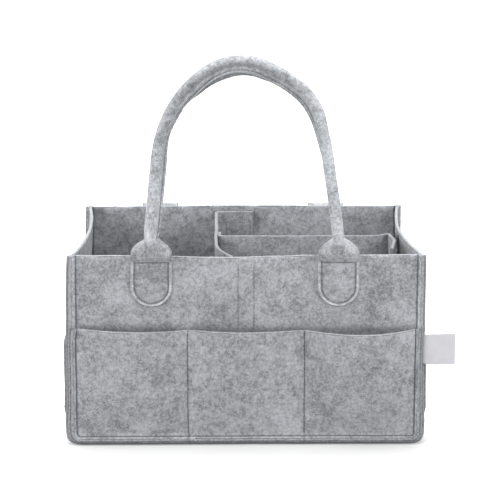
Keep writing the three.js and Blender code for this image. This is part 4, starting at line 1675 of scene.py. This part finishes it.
    def strap_net(self) -> tuple[Net, Array, Array]:
        """The whole strap, upright and facing the front.

        Returns:
            The net, the width place of each point and its place along the arch, 0 to 1.
        """
        half, low, total = self.half, self.paddle_low, self.run[-1]
        widths = spread(-half, half, 1.1, [-half, half, -self.stitch_radius, self.stitch_radius],
                        fine=0.6, reach=2.0)
        foot = np.concatenate([np.linspace(0.6, 24, 24), np.linspace(27, 48, 8)])
        distances = np.concatenate([foot, np.linspace(51, total - 51, 150), (total - foot)[::-1]])
        arch = self.arch_point(distances[:, None], widths[None, :])
        heights = spread(low, self.hinge_z, 1.1, [low, self.stitch_top, self.hinge_z], fine=0.6, reach=2.0)
        w, z = np.meshgrid(widths, heights)
        p = np.abs(w) / half
        q = np.clip(1 - (z - low) / half, 0, 1)
        x = w * np.sqrt(1 - q ** 2 / 2) - self.spread_x / 2
        z = z + half * (q - q * np.sqrt(1 - p ** 2 / 2))
        left = places(x, -(self.paddle_y + self.peeled(z)), z)
        right = (left * np.array([-1.0, 1.0, 1.0]))[::-1]
        shares = np.concatenate([np.zeros(len(left)), distances / total, np.ones(len(right))])
        net = Net(np.concatenate([left, arch, right])).facing(FORWARD, len(widths) * 6)
        return net, np.tile(widths, len(shares)), np.repeat(shares, len(widths))

    def stitch_distance(self, x: Array, z: Array) -> tuple[Array, Array]:
        """Measures from the D-shaped stitch row of the nearer paddle.

        Args:
            x: places across the caddy.
            z: heights.

        Returns:
            The distances, and 1 for each place inside the row.
        """
        u = np.abs(x) - self.spread_x / 2
        arc = np.hypot(u, z - self.stitch_middle) - self.stitch_radius
        lower = np.where(z < self.stitch_middle, arc, np.abs(u) - self.stitch_radius)
        signed = np.maximum(lower, z - self.stitch_top)
        return np.abs(signed), (signed < 0).astype(float)

    def turn_down(self, points: Array, angle: Array | float) -> Array:
        """Turns points about the fold, outward and down.

        Args:
            points: N by 3 places.
            angle: one angle for each or one for all, in radians.

        Returns:
            The turned places.
        """
        x, y, z = (points - self.pivot).T
        cos, sin = np.cos(angle), np.sin(angle)
        return places(x, y * cos - z * sin, y * sin + z * cos) + self.pivot

    def placed(self, shell: Shell) -> Shell:
        """The strap where it rests: at the front as built, at the back turned round and lowered.

        Args:
            shell: the strap or its thread, upright and facing the front.

        Returns:
            The same mesh in its place.
        """
        points = self.fold_down(shell.points) if self.lowered else shell.points.copy()
        points[:, :2] *= -self.end.value
        points[:, 0] += self.off_centre
        return replace(shell, points=points)

    def blend_line(self) -> tuple[Array, Array]:
        """Start and end of the turn between the paddles and the arch, facing the front."""
        if self.lowered:
            return (self.pivot - self.LOWERED_WAY * self.lowered_before,
                    self.pivot + self.LOWERED_WAY * self.lowered_after)
        return self.pivot - UP * self.fold_below, self.pivot + UP * self.fold_above

    def fold_down(self, points: Array) -> Array:
        """Finds where each point lies once the arch is lowered.

        Args:
            points: N by 3 places on the upright strap.

        Returns:
            Their places on the lowered one.
        """
        start, end = self.blend_line()
        way = (end - start) / np.dot(end - start, end - start)
        low, high = np.zeros(len(points)), np.ones(len(points))
        for _ in range(40):
            share = (low + high) / 2
            turned = self.turn_down(points, share * self.lowered)
            above = smooth((turned - start) @ way) > share
            low, high = np.where(above, share, low), np.where(above, high, share)
        return self.turn_down(points, (low + high) / 2 * self.lowered)

    def dress(self, p: Array, widths: Array, share: Array) -> dict[str, Array]:
        """The strap's relief, and its masks of painted shade and painted highlight.

        Args:
            p: its places, upright and facing the front.
            widths: the place across the strip of each.
            share: the place along the arch of each, 0 to 1.

        Returns:
            What thicken() takes of them, by name.
        """
        z = p[:, 2]
        below = z < self.hinge_z
        distance, inside = self.stitch_distance(p[:, 0], z)
        rolled = ramp(z, self.hinge_z + 6, self.hinge_z + 20)
        row = np.abs(np.abs(widths - self.uneven_at(share)) - self.arc - self.fin_row)
        relief = np.where(below, groove(distance, 0.9) - 0.5 * inside * smooth(distance / 2), 0.0)
        relief += groove(row, 0.6, STITCH_SHADE) * rolled
        near_top = bell(share - self.crown_share, 0.17)
        turned = ramp(share, 0.72, 0.62) * rolled
        rear_ply = ramp(-widths, self.arc - 0.4, self.arc + 0.6) * turned
        front_ply = ramp(widths, self.arc + 1, self.arc + 2) * turned

        # Painted light and shade round the upper tube, read from the step table by where each place shows
        # after the fin's turn.
        seen = widths - self.uneven_at(share) + self.neck_radius * np.radians(75 - self.fin_turn(share))
        at, turn_light, turn_shade = np.array(self.TURN_TONES).T
        tone = np.exp(-np.abs((share - 0.47) / 0.155) ** 3) * rolled * (widths < self.arc + 1)
        # Painted shade along the D rows and the fin's row, on the rear fin ply near the top and on the tube's
        # shaded side.
        sewn = np.where(below, 0.95 * bell(distance, STITCH_SHADE), 0.55 * bell(row, STITCH_SHADE) * rolled)
        pressed = np.maximum.reduce([sewn, 0.5 * rear_ply * near_top, tone * np.interp(seen, at, turn_shade)])
        # Painted highlight over the rolled grip, less near its top, then the tube's painted light and shade,
        # and on the front fin ply.
        painted_tone = rolled * (1 - 0.85 * near_top)
        painted_tone = np.maximum(painted_tone + (np.interp(seen, at, turn_light) - painted_tone) * tone, front_ply)
        # Painted highlight on a band between each D row and the paddle's edge.
        band = 0.4 + 0.6 * ramp(z, self.stitch_top + 2, self.stitch_top - 2)
        painted_tone += np.where(below, band * (1 - inside) * smooth(distance / 1.3), 0.0)
        return dict(relief=relief, pressed=pressed, stretched=painted_tone)

    def build(self, shop: Workshop) -> None:
        """Makes the strap and its thread.

        Args:
            shop: makes the pieces.
        """
        word = self.end.word
        net, widths, share = self.strap_net()
        shell = thicken(net, self.sizes.felt, **self.dress(net.points, widths, share))
        strap = shop.piece(f"{word}_strap", self.placed(shell), GRIP_FELT, None,
                           [f"{word}_handle_arch", f"{word}_handle_left_tab", f"{word}_handle_right_tab"])
        self.blend(strap)
        self.blend(shop.piece(f"{word}_strap_thread", self.placed(self.sew().shell()), GRIP_THREAD, None))

    def blend(self, piece: bpy.types.Object) -> None:
        """Bakes a piece's placement into its mesh."""
        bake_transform(piece)

    def sew(self) -> Thread:
        """The D-shaped rows on the paddles and the row along the fin."""
        s = self.sizes
        thread = Thread(radius=0.34)
        radius, top, middle = self.stitch_radius, self.stitch_top, self.stitch_middle
        out = self.paddle_y + s.felt / 2 - self.stitch_sink
        turn = np.linspace(math.pi, 2 * math.pi, 40)
        u = np.concatenate([np.full(20, -radius), radius * np.cos(turn), np.full(20, radius)])
        z = np.concatenate([np.linspace(top, middle, 20), middle + radius * np.sin(turn),
                            np.linspace(middle, top, 20)])
        bar = np.linspace(-radius, radius, 30)
        for side in (-1, 1):
            x = side * self.spread_x / 2
            thread.row(places(u + x, -(out + self.peeled(z)), z), FORWARD)
            thread.row(places(bar + x, -(out + self.peeled(top)), top), FORWARD)
        total = self.run[-1]
        distance = np.linspace(self.fin_row_end, total - self.fin_row_end, 400)
        middle, step = self.uneven_at(distance / total), self.arc + self.fin_row
        for side in (-1, 1):
            path = self.arch_point(distance, middle + side * step)
            normal = unit(path - self.arch_point(distance, middle - side * step))
            thread.row(path + normal * (s.felt / 2 - 0.3), normal)
        return thread


@dataclass
class Insert:
    """The lift-out divider: two felt strips, sewn together, with hook tape on their turned ends."""

    sizes: CaddySizes = field(default_factory=CaddySizes)
    top_drop: float = 5.0
    main_x: float = -29.0
    front_x: float = -10.0
    junction_y: float = -6.0
    junction_bend: float = 9.0
    sway: tuple[float, float] = (-28.0, -58.0)
    sway_bend: float = 20.0
    tab: float = 38.0
    bend: float = 5.0
    cross_flange: float = 16.0
    setback: float = 16.0
    curl_y: float = 3.0
    tab_setback: float = 13.0
    tab_y: float = -26.0
    end_setback: float = 20.0
    end_y: float = -64.0
    hook_width: float = 30.0
    hook_length: float = 96.0
    hook_stitch_inset: float = 2.5

    def __post_init__(self) -> None:
        """Works out the strips' edges and how far the short one reaches towards the right side."""
        s = self.sizes
        self.low, self.high = s.seam_z + s.clearance, s.rim - self.top_drop
        self.reach_x, self.tab_x, self.end_x = (s.inside_x - step for step in
                                                (self.setback, self.tab_setback, self.end_setback))

    @property
    def tab_plane(self) -> float:
        """Distance of a turned end's middle from the caddy's middle."""
        s = self.sizes
        return s.panel_inner_y - 2 * (s.clearance + s.tape_thickness) - s.clearance - s.felt / 2

    def path(self, corners: Sequence[tuple[float, ...]], pitch: float = 2.5, least: float = 0.3) -> Array:
        """A plan path with rounded bends.

        Args:
            corners: the path's corners, each with its own bend where a third number gives it.
            pitch: the usual distance between places.
            least: the smallest distance between places.

        Returns:
            Places along it.
        """
        points = [np.array(corner[:2], float) for corner in corners]
        line = [points[0]]
        for k in range(1, len(points) - 1):
            bend = corners[k][2] if len(corners[k]) > 2 else self.bend
            legs = [other - points[k] for other in (points[k - 1], points[k + 1])]
            start, end = (points[k] + unit(leg) * min(bend, np.linalg.norm(leg) / 2) for leg in legs)
            line += [bow(start, points[k], end, t) for t in np.linspace(0, 1, 7)]
        line = np.array([*line, points[-1]])
        run = travel(line)
        at = np.unique(np.concatenate([np.arange(0, run[-1], pitch), run]))
        return sample(line, run, at[np.concatenate([[True], np.diff(at) > least])])

    def divider(self, shop: Workshop, name: str, corners: Sequence[tuple[float, ...]],
                node: str) -> None:
        """Makes one standing strip.

        Args:
            shop: makes the pieces.
            name: the piece's name.
            corners: the corners of its plan path.
            node: the solid that it stands for.
        """
        z = spread(self.low, self.high, 4.0, [self.low, self.high], fine=0.9)
        shell = thicken(Net(standing(self.path(corners), z)), self.sizes.felt)
        piece = shop.piece(name, shell, BODY_FELT, "divider_insert", [node])

    def build(self, shop: Workshop) -> None:
        """Makes the two strips, their hook tapes and the thread.

        Args:
            shop: makes the pieces.
        """
        s = self.sizes
        plane, junction = self.tab_plane, self.junction_y
        self.divider(shop, "long_divider", [
            (self.main_x + self.tab, plane), (self.main_x, plane),
            (self.main_x, junction, self.junction_bend), (*self.sway, self.sway_bend),
            (self.front_x, -plane), (self.front_x + self.tab, -plane),
        ], "main_divider")
        flange_x = self.main_x + s.felt + s.clearance
        self.divider(shop, "short_divider", [
            (flange_x, junction + self.cross_flange), (flange_x, junction),
            (self.reach_x - 2 * self.bend, junction), (self.reach_x, self.curl_y),
            (self.tab_x, self.tab_y), (self.end_x, self.end_y),
        ], "cross_divider")
        thread = Thread()
        z = np.linspace(self.high - 3, self.low + 3, 60)
        for y in (junction + self.bend + 2, junction + self.cross_flange - 3):
            thread.row(places(flange_x + s.felt / 2, y, z), (1, 0, 0))
            thread.row(places(self.main_x - s.felt / 2, y, z), (-1, 0, 0))
        self.hooks(shop, thread)
        shop.piece("divider_thread", thread.shell(), BODY_THREAD, "divider_insert")

    def hooks(self, shop: Workshop, thread: Thread) -> None:
        """Makes the hook tapes on the three turned ends.

        Args:
            shop: makes the pieces.
            thread: takes the stitches.
        """
        s = self.sizes
        half = self.hook_width / 2
        step = s.felt / 2 + s.clearance + s.tape_thickness / 2
        low, high = (s.tape_top - s.tape_length / 2 + end * self.hook_length / 2 for end in (-1, 1))
        end = np.array([self.end_x, self.end_y])
        slant = unit(end - np.array([self.tab_x, self.tab_y]))
        tab_x, across = self.tab - half, np.array([1.0, 0.0])
        spots = (
            ("long_divider_front_hook_tape", "main_divider_front_hook",
             (self.front_x + tab_x, -self.tab_plane), across, (0.0, -1.0)),
            ("long_divider_rear_hook_tape", "main_divider_rear_hook",
             (self.main_x + tab_x, self.tab_plane), across, (0.0, 1.0)),
            ("short_divider_hook_tape", "cross_divider_hook",
             end - slant * half, slant, (-slant[1], slant[0])),
        )
        for name, node, at, along, away in spots:
            at, away = np.array(at), np.array(away)
            plan = at + away * step + along * spread(-half, half, 2.0)[:, None]
            shop.tape(name, standing(plan, spread(low, high, PITCH)), (*away, 0), HOOK_TAPE, "divider_insert",
                      node)
            for side in (-1, 1):
                inner = at - away * (s.felt / 2) + along * side * (half - self.hook_stitch_inset)
                thread.row(places(*inner, np.linspace(low + 2, high - 2, 50)), (*-away, 0))


@dataclass
class LoopTapes:
    """The loop tapes sewn inside the front, the back and the right side."""

    wrap: Wrap
    sizes: CaddySizes = field(default_factory=CaddySizes)
    stitch_inset: float = 2.6

    def build(self, shop: Workshop) -> None:
        """Makes the three tapes and the thread that holds them.

        Args:
            shop: makes the pieces.
        """
        s = self.sizes
        thread = Thread()
        half = s.tape_width / 2
        u, z = np.meshgrid(spread(-half, half, 2.0), spread(s.tape_top - s.tape_length, s.tape_top, PITCH))
        run = np.linspace(*s.tape_rows, 60)
        rows = [np.full_like(run, side * (half - self.stitch_inset)) for side in (-1, 1)]
        for end in End:
            y = end.value * (s.panel_inner_y - s.clearance - s.tape_thickness / 2)
            shop.tape(f"{end.word}_loop_tape", places(u, y, z), (0, -end.value, 0), LOOP_TAPE, "caddy",
                      f"{end.word}_loop_strip")
            for x in rows:
                thread.row(places(x, y - end.value * s.tape_thickness / 2, run), (0, -end.value, 0))
        inner = -s.felt / 2 - s.clearance
        grid = self.wrap.beside(Side.RIGHT, u, z, s.first_ply, inner - s.tape_thickness / 2)
        shop.tape("right_loop_tape", grid, (-1, 0, 0), LOOP_TAPE, "caddy", "right_loop_strip")
        for y in rows:
            path = self.wrap.beside(Side.RIGHT, y, run, s.first_ply, inner - s.tape_thickness)
            thread.row(path, (-1, 0, 0))
        shop.piece("loop_tape_thread", thread.shell(), BODY_THREAD, "caddy")


@dataclass
class Tag:
    """The bare woven tag: a loop of tape whose two ends are sewn into the right front seam."""

    sizes: CaddySizes = field(default_factory=CaddySizes)
    height: float = 29.0
    face: float = 28.0
    thickness: float = 0.8
    root: float = 4.0
    lead: float = 2.0
    top: float = 106.5
    bend: float = 3.0
    ply: float = 0.34
    swell: float = 0.5
    curl: float = 0.8

    def plan(self) -> tuple[Array, Array]:
        """The tag's middle line seen from above.

        Returns:
            The line from the seam to the free end, and the place where it bends.
        """
        s = self.sizes
        along = np.array([math.cos(s.side_lean), -math.sin(s.side_lean)])
        front = np.array([-math.sin(s.side_lean), -math.cos(s.side_lean)])
        seam = np.array([s.inside_x, -s.inside_y]) - front * (s.clearance + self.thickness) / 2
        root = seam + along * (s.flange - self.root)
        knee = seam + along * (s.flange + self.lead)
        across = np.array([1.0, 0.0])
        start, stop = knee - along * self.bend, knee + across * self.bend
        bend = bow(start, knee, stop, np.linspace(0, 1, 9)[:, None])
        free = np.linspace(stop, knee + across * self.face, 12)[1:]
        return np.concatenate([root[None], bend, free]), knee

    def build(self, shop: Workshop) -> None:
        """Makes the tag.

        Args:
            shop: makes the pieces.
        """
        line, knee = self.plan()
        way = unit(np.gradient(line, axis=0))
        normal = np.stack([way[:, 1], -way[:, 0]], -1)
        gap = (self.thickness - self.ply) / 2
        run = np.linspace(0, 1, len(line))
        swell = self.swell * np.sin(math.pi * np.clip((run - 0.2) / 0.8, 0, 1))[:, None] ** 1.5
        near = line + normal * (gap + swell)
        far = line - normal * (gap + 0.4 * swell)
        turn = np.linspace(-RIGHT_ANGLE, RIGHT_ANGLE, 7)[1:-1]
        nose = line[-1] + np.stack([np.cos(turn), -np.sin(turn)], -1) * gap
        plan = np.concatenate([far, nose, near[::-1]])
        grid = standing(plan, np.linspace(self.top - self.height, self.top, 16))
        up = (grid[..., 2] - self.top + self.height / 2) / self.height
        grid[..., 1] += smooth((grid[..., 0] - knee[0]) / self.face) * self.curl * np.sin(up * 2.4)
        shell = thicken(Net(grid).facing((0, 1, 0), 4), self.ply, rounding=0.12)
        tag = shop.piece("tag_loop", shell, TAG_WEAVE, "caddy", ["side_tag"])


@dataclass
class Studio:
    """A pale floor, soft lamps and the camera."""

    focal_px: float = 1564.0
    image_px: float = 500.0
    sensor: float = 36.0
    camera_m: tuple[float, float, float] = (-0.01272, -1.50945, 0.513)
    pitch: float = math.radians(13.13)
    yaw: float = math.radians(-0.65)
    floor_half_m: float = 6.0
    floor_drop_m: float = 0.0002
    floor_albedo: float = 0.42
    floor_seen: float = 0.7
    floor_glow: tuple[float, float] = (0.1, 1.0)
    glow_reach: tuple[float, float] = (0.15, 0.22)
    long_edge_m: float = 0.12
    world_strength: float = 0.34
    lamps_aim_m: tuple[float, float, float] = (0.0, 0.0, 0.12)

    # Name, place in metres, size in metres and power in watts.
    LAMPS = (
        ("top", (-0.1, 0.1, 2.2), 1.7, 50.0),
        ("left", (-1.9, -1.3, 1.0), 1.4, 33.0),
        ("right", (1.9, -1.3, 1.0), 1.4, 34.0),
        ("back", (-0.5, 2.1, 1.0), 1.6, 17.0),
    )

    def build(self) -> None:
        """Makes the floor, the lamps, the world and the camera."""
        self.floor()
        self.lamps()
        self.world()
        self.camera()

    def blank(self, owner: bpy.types.ID) -> Nodes:
        """Empties the node tree of a material or a world, and gives its helper."""
        owner.use_nodes = True
        owner.node_tree.nodes.clear()
        return Nodes(owner.node_tree)

    def looked(self, n: Nodes) -> Socket:
        """Puts in 1 for the camera's rays and for those that metal and glass send on."""
        path = n.add("LightPath").outputs
        mirrored = n.math("MAXIMUM", path["Is Glossy Ray"], path["Is Transmission Ray"])
        return n.math("MAXIMUM", path["Is Camera Ray"], mirrored)

    def floor(self) -> None:
        """A white floor that keeps the soft shadow near the caddy's front and back; to the camera it glows,
        faintly there and fully further out, painted light that whitens away the shadow at the sides.
        """
        half = self.floor_half_m
        mesh = bpy.data.meshes.new("floor")
        mesh.from_pydata([(-half, -half, 0), (half, -half, 0), (half, half, 0), (-half, half, 0)], [],
                         [(0, 1, 2, 3)])
        floor = bpy.data.objects.new("floor", mesh)
        floor.location.z = -self.floor_drop_m
        bpy.context.scene.collection.objects.link(floor)
        material = bpy.data.materials.new("floor paint")
        n = self.blank(material)
        plain, soft = (n.add("BsdfDiffuse", Color=(grey,) * 3 + (1.0,))
                       for grey in (self.floor_albedo, self.floor_seen))
        across, along, _ = n.add("SeparateXYZ", Vector=n.add("TexCoord").outputs["Object"]).outputs
        along = n.math("MULTIPLY", n.math("SUBTRACT", n.math("ABSOLUTE", along), self.long_edge_m), 2.0)
        away = n.add("VectorMath", {"operation": "LENGTH"},
                     i0=n.add("CombineXYZ", X=across, Y=along).outputs[0]).outputs["Value"]
        glow = n.remap(away, *self.glow_reach, *self.floor_glow)
        lift = n.add("Emission", Color=(1.0, 1.0, 1.0, 1.0), Strength=glow)
        seen = n.add("AddShader", i0=soft.outputs[0], i1=lift.outputs[0])
        mix = n.add("MixShader", i0=self.looked(n), i1=plain.outputs[0], i2=seen.outputs[0])
        n.add("OutputMaterial", Surface=mix.outputs[0])
        mesh.materials.append(material)

    def lamps(self) -> None:
        """Soft lamps above, at both sides and behind."""
        for name, place, size, power in self.LAMPS:
            data = bpy.data.lights.new(name, "AREA")
            data.shape = "DISK"
            data.size = size
            data.energy = power
            lamp = bpy.data.objects.new(name, data)
            lamp.location = place
            aim = Vector(self.lamps_aim_m) - Vector(place)
            lamp.rotation_euler = aim.to_track_quat("-Z", "Y").to_euler()
            bpy.context.scene.collection.objects.link(lamp)

    def world(self) -> None:
        """Even light all round, white where the camera looks."""
        world = bpy.data.worlds.new("studio")
        bpy.context.scene.world = world
        n = self.blank(world)
        strength = n.add("MapRange", Value=self.looked(n), From_Min=0.0, From_Max=1.0,
                         To_Min=self.world_strength, To_Max=1.0)
        back = n.add("Background", Color=(1, 1, 1, 1), Strength=strength.outputs[0])
        n.add("OutputWorld", Surface=back.outputs[0])

    def camera(self) -> None:
        """The photograph's view."""
        data = bpy.data.cameras.new("camera")
        data.sensor_width = self.sensor
        data.lens = self.focal_px / self.image_px * self.sensor
        camera = bpy.data.objects.new("camera", data)
        camera.location = self.camera_m
        camera.rotation_euler = Euler((math.pi / 2 - self.pitch, 0.0, self.yaw), "XYZ")
        bpy.context.scene.collection.objects.link(camera)
        bpy.context.scene.camera = camera


def main() -> None:
    """Builds the studio, then the caddy piece by piece."""
    logging.basicConfig(level=logging.INFO, format="%(name)s: %(message)s")
    bpy.context.scene.view_settings.view_transform = "Standard"
    Studio().build()
    shop = Workshop(Drift(seed=11, sizes=SIZES))
    wrap = Wrap()
    EndWall(End.FRONT, gapes=(10.5, 10.0, 19.0), rim_dip=2.2).build(shop)
    EndWall(End.BACK).build(shop)
    wrap.build(shop)
    LoopTapes(wrap).build(shop)
    Grip(End.FRONT).build(shop)
    Grip(End.BACK, lowered=math.radians(163)).build(shop)
    Insert().build(shop)
    Tag().build(shop)


if __name__ == "__main__":
    main()
